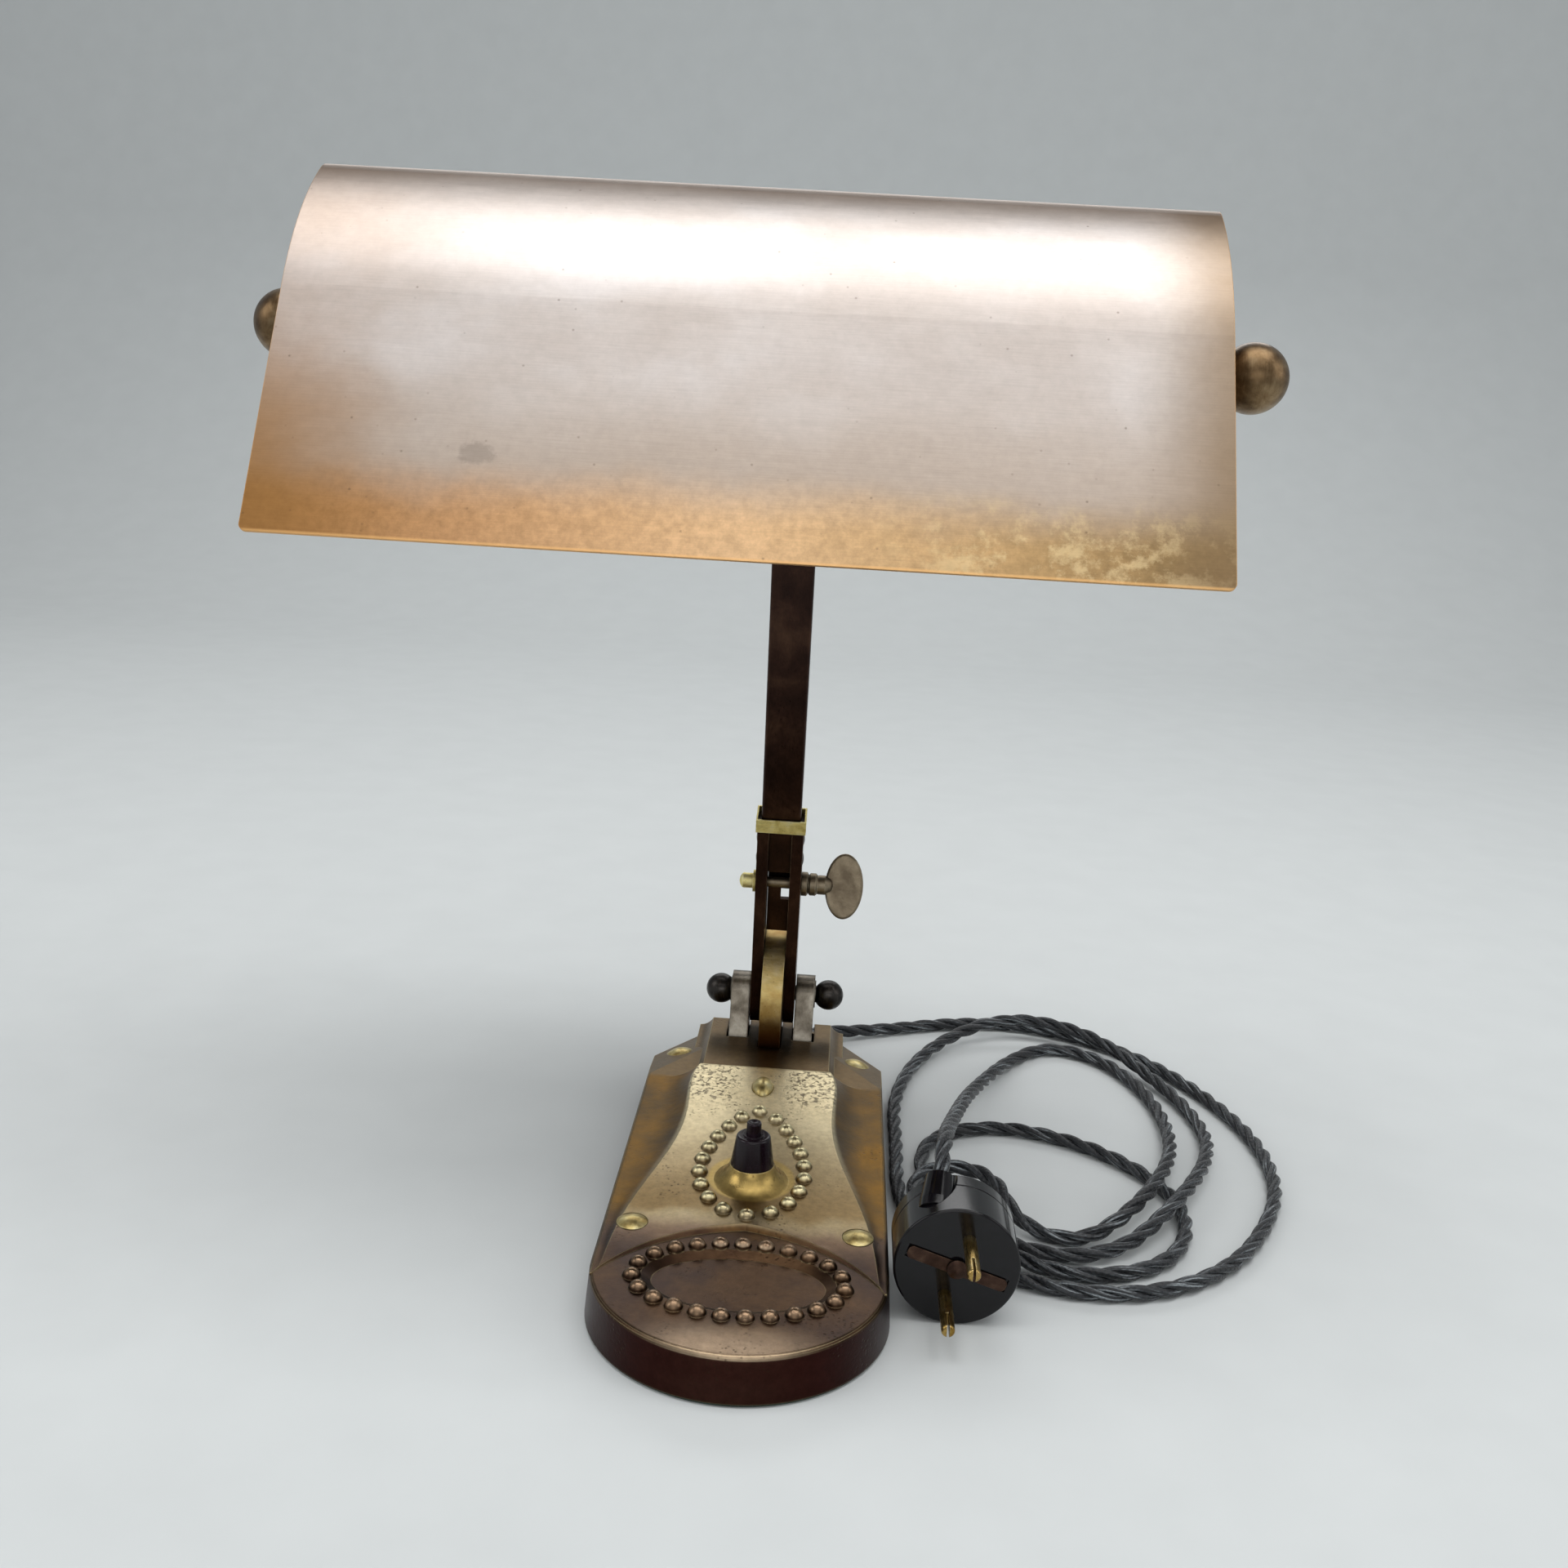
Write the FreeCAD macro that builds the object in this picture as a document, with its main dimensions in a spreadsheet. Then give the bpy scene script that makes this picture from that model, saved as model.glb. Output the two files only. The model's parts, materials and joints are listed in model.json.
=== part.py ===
import FreeCAD, Part
import math
import os
import Sketcher
from FreeCAD import Placement, Rotation, Vector

# Notary desk lamp: a cast brass base with a friction-jointed arm, a long brass shade that
# turns on a cross rod between two ball knobs, a push switch on the base, and a cloth cord
# that lies in loose loops beside the base and ends in a round two-pin plug.
# Millimetres. X runs along the shade, Y to the back, Z up. Origin under the base.

SIZES = {
    # base casting
    "BaseWidth": 88.0,
    "BaseLength": 230.5,
    "BaseHeight": 15.0,
    "BaseRear": 117.0,
    "BaseFlare": 1.0,
    "BaseArris": 1.3,
    "BaseWall": 3.0,
    "RearCornerY": 84.0,
    "CrestY": 112.0,
    "CrestHalf": 25.0,
    "RearHalf": 22.0,
    "RearDrop": 6.0,
    "CavityTop": 9.0,
    "FacetWidth": 14.0,
    "FacetTilt": 14.0,
    # raised shelf and panel on the casting
    "ShelfHalf": 24.0,
    "ShelfRise": 2.0,
    "ShelfCove": 5.0,
    "CoveOverrun": 6.0,
    "PanelRear": 59.0,
    "PanelRearRise": 6.0,
    "PanelSlope": 2.4,
    "RidgeCusp": 67.5,
    "RidgeShoulderInset": 20.0,
    "RidgeShoulder": 57.7,
    "RidgeEnd": 35.5,
    "RidgeBevel": 1.25,
    "BeadRadius": 2.75,
    "BeadSink": 0.3,
    "PearHalf": 16.6,
    "PearWaist": 0.28,
    "PearSquare": 0.12,
    "PearMiddle": 104.4,
    "PearReach": 33.6,
    "OvalInset": 13.0,
    "OvalHalfY": 19.0,
    "OvalMiddle": 37.5,
    "OvalBand": 2.4,
    "FieldDepth": 1.6,
    "FieldDraft": 3.2,
    # under the casting
    "FeltThick": 1.0,
    "FeltInset": 0.8,
    "PlateThick": 1.2,
    "WeightTop": 8.8,
    "SeatGap": 0.5,
    "FitGap": 0.05,
    # rivets of the casting
    "RivetRadius": 4.8,
    "RivetDome": 1.5,
    "RivetSeat": 0.4,
    "RivetShank": 1.5,
    "RivetInset": 9.4,
    "RivetFront": 63.5,
    "RivetCorner": 6.4,
    "RivetMiddle": 15.6,
    "StudHalf": 4.0,
    "StudLong": 14.0,
    "StudRise": 3.0,
    # push switch
    "SwitchMiddle": 93.5,
    "BossRadius": 14.0,
    "BossRise": 5.4,
    "BossSink": 0.6,
    "BossHollow": 9.0,
    "CollarRadius": 7.0,
    "CollarTopRadius": 5.6,
    "CollarHeight": 10.0,
    "CollarShoulder": 0.9,
    "CollarRoof": 1.8,
    "CollarRing": 3.4,
    "CollarRingRise": 0.35,
    "NeckRadius": 4.6,
    "NeckHeight": 3.6,
    "SwitchBodyRadius": 9.0,
    "SwitchBodyFoot": 2.6,
    "PlungerRadius": 2.4,
    "PlungerProud": 4.5,
    "PlungerStop": 1.6,
    "PlungerTail": 8.2,
    "PlungerGap": 0.1,
    "PressTravel": 2.5,
    "DimpleRadius": 1.2,
    "DimpleDepth": 0.3,
    # hinge at the rear of the base
    "PivotY": 107.0,
    "PivotZ": 32.5,
    "PivotBolt": 3.0,
    "DiscRadius": 26.5,
    "DiscThick": 8.2,
    "DiscRear": 6.5,
    "DiscSeat": 2.2,
    "DiscSlotGap": 0.3,
    "EarInner": 9.0,
    "EarThick": 7.4,
    "EarLug": 7.5,
    "EarFootFront": -12.5,
    "EarFootRear": 5.0,
    "MortiseGap": 0.8,
    "LeadSlot": 10.0,
    "EarScrew": 2.0,
    "EarScrewHead": 3.5,
    "EarScrewHeadThick": 2.2,
    "EarScrewReach": 6.0,
    "PivotBall": 5.9,
    "PivotNeckLeft": 4.5,
    "PivotNeckRight": 3.3,
    "PivotNeckLong": 0.3,
    "PivotWasher": 5.4,
    "PivotWasherThick": 0.4,
    "BallBore": 4.5,
    # arm
    "ArmLength": 255.4,
    "ArmLean": 16.72,
    "LegThick": 4.3,
    "LegGap": 0.2,
    "LegEnd": 12.0,
    "LegTop": 81.4,
    "LegTopHalf": 4.2,
    "SpacerFoot": 59.0,
    "TongueFoot": 28.4,
    "TongueTop": 70.0,
    "TongueFront": 2.3,
    "TongueThick": 1.8,
    "TongueGap": 0.2,
    "NotchLow": 43.4,
    "NotchTall": 5.0,
    "NotchWide": 3.2,
    "TenonTop": 93.4,
    "TenonHalfX": 4.0,
    "TenonHalfY": 2.5,
    "ForkRivet": 1.8,
    "ForkRivetLow": 64.0,
    "ForkRivetHigh": 73.0,
    "ForkRivetHead": 2.6,
    "ForkRivetRise": 0.5,
    "FerruleFoot": 77.9,
    "FerruleTall": 5.5,
    "FerruleWall": 0.65,
    "FerruleGap": 0.05,
    "FerruleSlack": 0.42,
    "StemWide": 14.7,
    "StemDeep": 8.0,
    "StemWall": 1.1,
    "HeadShoulder": 12.4,
    "StemCorner": 1.0,
    "HeadRadius": 10.6,
    "HeadTenon": 6.0,
    # thumb screw
    "ThumbAlong": 52.7,
    "ThumbShank": 2.0,
    "ThumbTurn": -34.0,
    "ThumbNeck": 4.6,
    "ThumbGroove": 3.6,
    "ThumbNeckLong": 9.0,
    "ThumbWaist": 3.7,
    "PaddleLong": 14.6,
    "PaddleTall": 25.0,
    "PaddleThick": 3.0,
    "PaddleEdge": 0.9,
    "NutRadius": 2.9,
    "NutLong": 6.4,
    "NutCrown": 1.4,
    "NutBoreLong": 5.0,
    "NutFlange": 4.2,
    "NutFlangeThick": 1.2,
    # cross rod, shade and knobs
    "ShadeCentre": -13.6,
    "ShadeLong": 276.0,
    "ShadeSheet": 0.9,
    "ShadeCrest": 48.7,
    "CrestRadius": 15.0,
    "CrestAngle": 30.0,
    "ShoulderRadius": 98.0,
    "SkirtAngle": 60.3,
    "SkirtLong": 78.6,
    "ShadeCorner": 2.2,
    "CheekRaise": 3.0,
    "CheekThick": 1.0,
    "CheekGap": 0.1,
    "RodRadius": 5.0,
    "JournalRadius": 4.0,
    "JournalReach": 14.0,
    "RodWasher": 9.0,
    "RodWasherThick": 1.5,
    "CollarFlare": 13.5,
    "CollarLip": 1.2,
    "CollarNose": 6.0,
    "CollarLeft": 2.8,
    "CollarRight": 6.6,
    "HollowLeft": 24.0,
    "HollowRight": 9.0,
    "KnobRadius": 11.1,
    "KnobFlat": 4.8,
    "KnobGap": 0.2,
    "TurnGap": 0.1,
    # lamp holder and bulb
    "HolderDrop": 30.0,
    "BracketThick": 2.0,
    "BracketFace": -14.0,
    "BracketHalf": 9.0,
    "NippleRadius": 5.0,
    "NippleBore": 3.5,
    "NippleNut": 7.5,
    "NippleNutThick": 2.6,
    "HolderRadius": 17.5,
    "HolderLong": 38.0,
    "HolderSkirt": 19.0,
    "HolderSkirtLong": 6.0,
    "HolderSkirtStep": 0.8,
    "HolderDome": 4.0,
    "HolderFloor": 4.0,
    "HolderBore": 14.0,
    "CapRadius": 13.2,
    "CapLong": 27.0,
    "CapButton": 4.0,
    "GlassRadius": 15.0,
    "GlassLong": 78.0,
    "GlassWall": 0.8,
    "GlassNeckLong": 12.0,
    "GlassNeckCurve": 22.0,
    # cord and plug
    "CordRadius": 2.65,
    "CordX": 14.5,
    "CordZ": 6.6,
    "BushWall": 1.05,
    "BushGap": 0.3,
    "BushProud": 1.5,
    "PlugX": 63.5,
    "PlugFace": -67.0,
    "PlugRadius": 18.75,
    "PlugBodyLong": 15.0,
    "PlugCapLong": 18.5,
    "PlugCapCrown": 6.0,
    "PlugLip": 0.8,
    "PinSpacing": 19.0,
    "PinTilt": 18.0,
    "PinRadius": 2.0,
    "PinLong": 19.5,
    "PinSeat": 9.0,
    "PinShank": 1.6,
    "PinSlot": 0.8,
    "PinSlotDeep": 7.0,
    "StrapWide": 4.0,
    "StrapThick": 1.2,
    "StrapLong": 31.0,
    "PlugScrewRadius": 3.0,
    "PlugScrewRise": 1.3,
    "SpoutRadius": 5.2,
    "SpoutMouth": 4.3,
    "SpoutLong": 9.0,
    "SpoutSeat": 3.0,
}

# Route of the cord's centre line from inside the bush to the mouth of the plug's spout.
# LOW is the centre of a cord that lies on the table, HIGH that of one lying on another.
LOW = SIZES["CordRadius"]
HIGH = 3 * LOW + 0.75
CORD_ROUTE = [
    (14.5, 115.5, 6.6), (14.5, 126, 6.1), (20, 135, 4.9), (31, 140, 3.7), (49, 148, LOW),
    (75, 159, LOW), (104, 163.5, LOW), (133, 152.5, LOW), (158, 130, LOW), (175, 99, LOW),
    (185, 65, LOW), (184.5, 31, LOW), (174, 2, LOW), (156, -27, LOW), (131, -45.5, LOW),
    (104, -49.5, LOW), (83, -43, LOW), (66, -32, LOW), (53, -15, LOW), (48.7, 9, LOW),
    (49.6, 42, LOW), (48.9, 76, LOW), (57, 112, LOW), (74, 140, 4.6), (97, 154, 8.6),
    (118, 153, 8.8), (137, 140, 8), (151, 121, 4.6), (163, 95, LOW), (167, 66, LOW),
    (161, 40, 6.1), (152, 18, HIGH), (139, -4, HIGH), (122, -23, 4), (101, -29.5, LOW),
    (84, -23, LOW), (70, -11, LOW), (61.5, 8, LOW), (56.5, 31, LOW), (65, 52, LOW),
    (87, 62, LOW), (111, 56, LOW), (131, 41, LOW), (145, 19, LOW), (146, -7, LOW),
    (134, -29, LOW), (113, -39, LOW), (95, -37.5, LOW), (79, -30, 5), (65, -22.5, HIGH),
    (54.5, -12, HIGH), (53.5, 2, HIGH), (60.5, 13.5, HIGH), (73.5, 16, HIGH), (83, 6.5, 8.6),
    (86.5, -6.5, 5), (95.5, -16, LOW), (109, -17.5, LOW), (120.5, -10.5, 6.2),
    (132, 3, HIGH + 0.3), (142.5, 23, HIGH + 0.3), (151, 52, 4.6), (153, 82, LOW),
    (148, 109, LOW), (135.5, 133, LOW), (115, 141, LOW), (97, 122, LOW), (83, 88, 7.5),
    (74, 53, 17), (67, 16, 27), (62.5, -12, 36), (60.5, -29, 42), (59, -41, 42),
    (58, -48.7, 37.7),
]
ARC_SHARE = 0.45

document = FreeCAD.newDocument("NotaryLamp")
sheet = document.addObject("Spreadsheet::Sheet", "Sizes")
for row, (alias, amount) in enumerate(SIZES.items(), start=1):
    sheet.set("A%d" % row, "%g" % amount)
    sheet.setAlias("A%d" % row, alias)
document.recompute()


class Size:
    """A length of the lamp: its amount in millimetres and the sheet expression for it."""

    def __init__(self, amount, text):
        self.amount = float(amount)
        self.text = text

    def __add__(self, other):
        return Size(self.amount + mm(other), "(%s + %s)" % (self.text, expression(other)))

    def __sub__(self, other):
        return Size(self.amount - mm(other), "(%s - %s)" % (self.text, expression(other)))

    def __mul__(self, other):
        return Size(self.amount * mm(other), "(%s * %s)" % (self.text, expression(other)))

    def __truediv__(self, other):
        return Size(self.amount / mm(other), "(%s / %s)" % (self.text, expression(other)))

    def __neg__(self):
        return Size(-self.amount, "(-%s)" % self.text)


def mm(size):
    """The plain number of a size."""
    return size.amount if isinstance(size, Size) else float(size)


def expression(size):
    """The sheet expression of a size."""
    return size.text if isinstance(size, Size) else "%.9g" % size


class Sheet:
    """Gives each alias of the sheet as a size."""

    def __getattr__(self, alias):
        return Size(sheet.get(alias), "Sizes." + alias)


size = Sheet()
nodes = {}


def shade_point(angle, radius, centre):
    """A point of the shade's outer curve, at a slope in degrees from level, on the front half."""
    slope = math.radians(mm(angle))
    return centre + Vector(0, -math.sin(slope), math.cos(slope)) * mm(radius)


# Bodies, sketches and features

def new_body(name):
    body = document.addObject("PartDesign::Body", name)
    body.Label = name
    nodes[name] = body
    return body


def pin_corner(sketch, edge, end, coordinate, kind, axis):
    """Ties one coordinate of an edge's end to its size."""
    if abs(mm(coordinate)) < 1e-9:
        sketch.addConstraint(Sketcher.Constraint("PointOnObject", edge, end, axis))
        return
    tie = Sketcher.Constraint("Distance" + kind, -1, 1, edge, end, mm(coordinate))
    index = sketch.addConstraint(tie)
    sketch.setExpression("Constraints[%d]" % index, expression(coordinate))


def draw_loop(sketch, corners):
    """Draws a closed loop. A corner is (x, y), or (x, y, radius) where an arc arrives at it:
    a positive radius bends to the left of the way it runs, a negative one to the right."""
    points = [Vector(mm(corner[0]), mm(corner[1]), 0) for corner in corners]
    edges = []
    for number, corner in enumerate(corners):
        start, end = points[number - 1], points[number]
        if len(corner) == 2:
            edges.append((sketch.addGeometry(Part.LineSegment(start, end), False), 1, 2))
            continue
        radius = abs(mm(corner[2]))
        side = math.copysign(1, mm(corner[2]))
        half = (end - start) / 2
        lift = math.sqrt(max(radius ** 2 - half.Length ** 2, 0))
        centre = start + half + Vector(-half.y, half.x, 0).normalize() * lift * side
        first = math.atan2(start.y - centre.y, start.x - centre.x)
        last = math.atan2(end.y - centre.y, end.x - centre.x)
        circle = Part.Circle(centre, Vector(0, 0, 1), radius)
        if side > 0:
            arc = sketch.addGeometry(Part.ArcOfCircle(circle, first, last), False)
            edges.append((arc, 1, 2))
        else:
            arc = sketch.addGeometry(Part.ArcOfCircle(circle, last, first), False)
            edges.append((arc, 2, 1))
    for number, corner in enumerate(corners):
        edge, _, end = edges[number]
        following, start, _ = edges[(number + 1) % len(corners)]
        sketch.addConstraint(Sketcher.Constraint("Coincident", edge, end, following, start))
        pin_corner(sketch, edge, end, corner[0], "X", -2)
        pin_corner(sketch, edge, end, corner[1], "Y", -1)
        if len(corner) == 3:
            radius = corner[2] if mm(corner[2]) > 0 else -corner[2]
            index = sketch.addConstraint(Sketcher.Constraint("Radius", edge, mm(radius)))
            if isinstance(radius, Size):
                sketch.setExpression("Constraints[%d]" % index, radius.text)


def draw_circle(sketch, x, y, radius):
    """Draws a circle whose centre and radius are tied to sizes."""
    circle = Part.Circle(Vector(mm(x), mm(y), 0), Vector(0, 0, 1), mm(radius))
    edge = sketch.addGeometry(circle, False)
    pin_corner(sketch, edge, 3, x, "X", -2)
    pin_corner(sketch, edge, 3, y, "Y", -1)
    index = sketch.addConstraint(Sketcher.Constraint("Radius", edge, mm(radius)))
    sketch.setExpression("Constraints[%d]" % index, expression(radius))


def new_sketch(body, role, loops, circles=()):
    """A sketch on one of the body's own origin planes."""
    sketch = body.newObject("Sketcher::SketchObject", body.Name + "_sketch")
    plane = [item for item in body.Origin.OriginFeatures if item.Role == role][0]
    sketch.AttachmentSupport = [(plane, "")]
    sketch.MapMode = "FlatFace"
    for corners in loops:
        draw_loop(sketch, corners)
    for circle in circles:
        draw_circle(sketch, *circle)
    return sketch


def dome_radius(half, rise):
    """Radius of the sphere whose cap has this half width and rise."""
    return (half * half + rise * rise) / (rise * 2)


def turned(name, corners, place=None):
    """A turned piece: its half section, radius by height, goes round the Z axis."""
    body = new_body(name)
    sketch = new_sketch(body, "XZ_Plane", [corners])
    turn = body.newObject("PartDesign::Revolution", name + "_turn")
    turn.Profile = sketch
    turn.ReferenceAxis = (sketch, ["V_Axis"])
    turn.Angle = 360
    body.Tip = turn
    body.Placement = place or Placement()
    return body


def plate(name, role, loops, circles, thick, place):
    """A plate cut to an outline with round holes."""
    body = new_body(name)
    sketch = new_sketch(body, role, loops, circles)
    pad = body.newObject("PartDesign::Pad", name + "_pad")
    pad.Profile = sketch
    pad.Length = mm(thick)
    pad.setExpression("Length", expression(thick))
    body.Tip = pad
    body.Placement = place
    return body


def group(name, form, places):
    """One node of several like solids, each the form at a place."""
    solids = []
    for place in places:
        solid = form.copy()
        solid.Placement = place.multiply(solid.Placement)
        solids.append(solid)
    return shaped(name, Part.makeCompound(solids))


def shaped(name, shape):
    feature = document.addObject("Part::Feature", name)
    feature.Label = name
    feature.Shape = shape
    nodes[name] = feature
    return feature


def rectangle(left, low, right, high):
    return [(left, low), (right, low), (right, high), (left, high)]


def rounded_rectangle(half_wide, half_tall, corner):
    """The loop of a rectangle with round corners about the origin."""
    inner_x = half_wide - corner
    inner_y = half_tall - corner
    return [
        (inner_x, -half_tall), (half_wide, -inner_y, corner),
        (half_wide, inner_y), (inner_x, half_tall, corner),
        (-inner_x, half_tall), (-half_wide, inner_y, corner),
        (-half_wide, -inner_y), (-inner_x, -half_tall, corner),
    ]


ALONG_X = Rotation(Vector(0, 1, 0), 90)
ALONG_MINUS_X = Rotation(Vector(0, 1, 0), -90)
ALONG_MINUS_Y = Rotation(Vector(1, 0, 0), 90)
ALONG_Y = Rotation(Vector(1, 0, 0), -90)

lean = math.radians(mm(size.ArmLean))
pivot = Vector(0, mm(size.PivotY), mm(size.PivotZ))
arm_place = Placement(pivot, Rotation(Vector(1, 0, 0), mm(size.ArmLean)))
rod = arm_place.multVec(Vector(0, 0, mm(size.ArmLength)))
base_half = mm(size.BaseWidth) / 2
base_front = mm(size.BaseRear - size.BaseLength)
base_centre = base_front + base_half
switch_y = base_front + mm(size.SwitchMiddle)
panel_fall = math.tan(math.radians(mm(size.PanelSlope)))


def panel_top(y):
    """Height of the raised panel's sloping top."""
    rear = mm(size.BaseHeight + size.PanelRearRise)
    return rear - (mm(size.PanelRear) - y) * panel_fall


# Base casting and what lies under it

def outline_corners(grow):
    """Right-hand corners of the base outline, moved out by a distance."""
    half = mm(size.BaseWidth) / 2
    corners = [
        Vector(half, base_centre, 0),
        Vector(half, mm(size.RearCornerY), 0),
        Vector(mm(size.CrestHalf), mm(size.CrestY), 0),
        Vector(mm(size.RearHalf), mm(size.BaseRear), 0),
        Vector(0, mm(size.BaseRear), 0),
    ]
    normals = []
    for start, end in zip(corners[:-1], corners[1:]):
        run = (end - start).normalize()
        normals.append(Vector(run.y, -run.x, 0))
    moved = [corners[0] + normals[0] * grow]
    for corner, before, after in zip(corners[1:-1], normals[:-1], normals[1:]):
        moved.append(corner + (before + after) * (grow / (1 + before.dot(after))))
    return moved


def base_outline(grow, height):
    """Closed outline of the base: a round front, straight sides and a cut-off rear."""
    right = [point + Vector(0, 0, height) for point in outline_corners(grow)]
    left = [Vector(-point.x, point.y, point.z) for point in reversed(right)]
    front = Vector(0, base_centre - right[0].x, height)
    corners = right + left
    edges = [Part.LineSegment(a, b).toShape() for a, b in zip(corners[:-1], corners[1:])]
    edges.append(Part.Arc(left[-1], front, right[0]).toShape())
    return Part.Wire(edges)


def slab(grow, low, high):
    """A flat piece with the base's outline."""
    face = Part.Face(base_outline(grow, low))
    return face.extrude(Vector(0, 0, high - low))


def block(low, high):
    """A box between two opposite corners."""
    span = high - low
    return Part.makeBox(span.x, span.y, span.z, low)


def drilling(x, y, radius, low, high):
    return Part.makeCylinder(radius, high - low, Vector(x, y, low))


def cove_section(y, half, top, foot_half, foot):
    """Cross section of a raised field with hollow flanks, in the plane of a Y. The flanks are
    level at the foot and run on a little above the field's top."""
    run = foot_half - half
    rise = top - foot
    radius = (run ** 2 + rise ** 2) / (2 * rise)
    full = 2 * math.atan2(rise, run) + math.radians(mm(size.CoveOverrun))
    bed = foot - 3

    def flank(side, angle):
        return Vector(side * (foot_half - radius * math.sin(angle)), y,
                      foot + radius * (1 - math.cos(angle)))

    edges = [
        Part.LineSegment(Vector(-foot_half, y, bed), Vector(foot_half, y, bed)),
        Part.LineSegment(Vector(foot_half, y, bed), Vector(foot_half, y, foot)),
        Part.Arc(flank(1, 0), flank(1, full / 2), flank(1, full)),
        Part.LineSegment(flank(1, full), flank(-1, full)),
        Part.Arc(flank(-1, full), flank(-1, full / 2), flank(-1, 0)),
        Part.LineSegment(Vector(-foot_half, y, foot), Vector(-foot_half, y, bed)),
    ]
    return Part.Wire([edge.toShape() for edge in edges])


def ridge_wire(shift, height):
    """Outline behind the bracket-shaped ridge that ends the panel in front."""
    shoulder_x = base_half - mm(size.RidgeShoulderInset)
    cusp = Vector(0, base_front + mm(size.RidgeCusp) - shift, height)
    shoulder = Vector(shoulder_x, base_front + mm(size.RidgeShoulder) - shift, height)
    end = Vector(base_half, base_front + mm(size.RidgeEnd) - shift, height)
    corner = Vector(base_half, mm(size.PanelRear), height)

    def mirrored(point):
        return Vector(-point.x, point.y, point.z)

    edges = [
        Part.Arc(cusp, shoulder, end),
        Part.LineSegment(end, corner),
        Part.LineSegment(corner, mirrored(corner)),
        Part.LineSegment(mirrored(corner), mirrored(end)),
        Part.Arc(mirrored(end), mirrored(shoulder), cusp),
    ]
    return Part.Wire([edge.toShape() for edge in edges])


def raised_panel():
    """The sloping panel with hollow flanks, ended in front by the bevelled ridge."""
    foot = mm(size.BaseHeight)
    rear = mm(size.PanelRear)
    end = base_front + mm(size.RidgeEnd)
    # how far forward, how far the top has widened to the flank's foot, and that foot's margin
    stations = [(0, 0, 7.0), (0.235, 0.08, 5.6), (0.44, 0.2, 3.0), (0.63, 0.52, 1.4),
                (0.8, 0.77, 1.1), (1, 0.9, 0.9)]
    narrow = mm(size.ShelfHalf) + 0.2
    sections = []
    for share, widening, margin in stations:
        y = rear + (end - rear) * share
        half = narrow + (base_half - margin - narrow) * widening
        sections.append(cove_section(y, half, panel_top(y), base_half - margin, foot))
    field = Part.makeLoft(sections, True, False)
    side = [Vector(base_half, end, foot - 3), Vector(base_half, rear, foot - 3),
            Vector(base_half, rear, panel_top(rear)), Vector(base_half, end, panel_top(end))]
    wedge = Part.Face(Part.makePolygon(side + side[:1]))
    field = field.common(wedge.extrude(Vector(-2 * base_half, 0, 0)))
    bevel = mm(size.RidgeBevel)
    low, high = foot - 4, panel_top(rear) + 1
    level = foot + 2
    ridge = Part.makeLoft([ridge_wire((level - low) * bevel, low),
                           ridge_wire((level - high) * bevel, high)], True, True)
    return field.common(ridge)


def bead(x, y, surface):
    centre = Vector(x, y, surface - mm(size.BeadSink))
    return Part.makeSphere(mm(size.BeadRadius), centre)


def even_points(curve, count, samples=720):
    """Points at even distances along a closed curve given by a function of its angle."""
    path = [curve(2 * math.pi * step / samples) for step in range(samples + 1)]
    lengths = [0.0]
    for start, end in zip(path[:-1], path[1:]):
        lengths.append(lengths[-1] + math.dist(start, end))
    points = []
    for number in range(count):
        target = lengths[-1] * number / count
        index = min(step for step, length in enumerate(lengths) if length >= target - 1e-9)
        points.append(path[index])
    return points


def pear_curve(angle):
    """The pear-shaped line of the beads round the switch."""
    reach = math.cos(angle)
    wide = (1 - mm(size.PearWaist) * reach) * (1 - mm(size.PearSquare) * reach ** 2)
    return (mm(size.PearHalf) * math.sin(angle) * wide,
            base_front + mm(size.PearMiddle) + mm(size.PearReach) * reach)


def oval_curve(angle):
    return ((base_half - mm(size.OvalInset)) * math.sin(angle),
            base_front + mm(size.OvalMiddle) + mm(size.OvalHalfY) * math.cos(angle))


def ellipse_wire(inset, height):
    ellipse = Part.Ellipse(Vector(0, base_front + mm(size.OvalMiddle), height),
                           base_half - mm(size.OvalInset + size.OvalBand) - inset,
                           mm(size.OvalHalfY - size.OvalBand) - inset)
    return Part.Wire([ellipse.toShape()])


def rivet_places():
    """Place of each rivet of the casting: two in front, one on the panel, two behind."""
    top = mm(size.BaseHeight)
    inset = mm(size.FacetWidth) / 2
    places = []
    for side in (-1, 1):
        front = Vector(side * (base_half - mm(size.RivetInset)),
                       base_front + mm(size.RivetFront), 0)
        front.z = panel_top(front.y)
        places.append(Placement(front, Rotation()))
        out = facet_direction(side)
        along = Vector(-side * abs(out.y), abs(out.x), 0)
        corner = Vector(side * base_half, mm(size.RearCornerY), top)
        rear = corner + along * mm(size.RivetCorner) - out * inset
        rear.z = top - inset * facet_fall()
        places.append(Placement(rear, facet_rotation(side)))
    middle = Vector(0, mm(size.PanelRear - size.RivetMiddle), 0)
    middle.z = panel_top(middle.y)
    places.append(Placement(middle, Rotation()))
    return places


def facet_fall():
    return math.tan(math.radians(mm(size.FacetTilt)))


def facet_direction(side):
    """Level direction square to a rear corner's edge, pointing out."""
    start = Vector(base_half, mm(size.RearCornerY), 0)
    end = Vector(mm(size.CrestHalf), mm(size.CrestY), 0)
    run = (end - start).normalize()
    return Vector(side * run.y, -run.x, 0)


def facet_rotation(side):
    """Turn that lays a level thing on a rear corner's facet."""
    out = facet_direction(side)
    axis = Vector(0, 0, 1).cross(out)
    return Rotation(axis, mm(size.FacetTilt))


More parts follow.
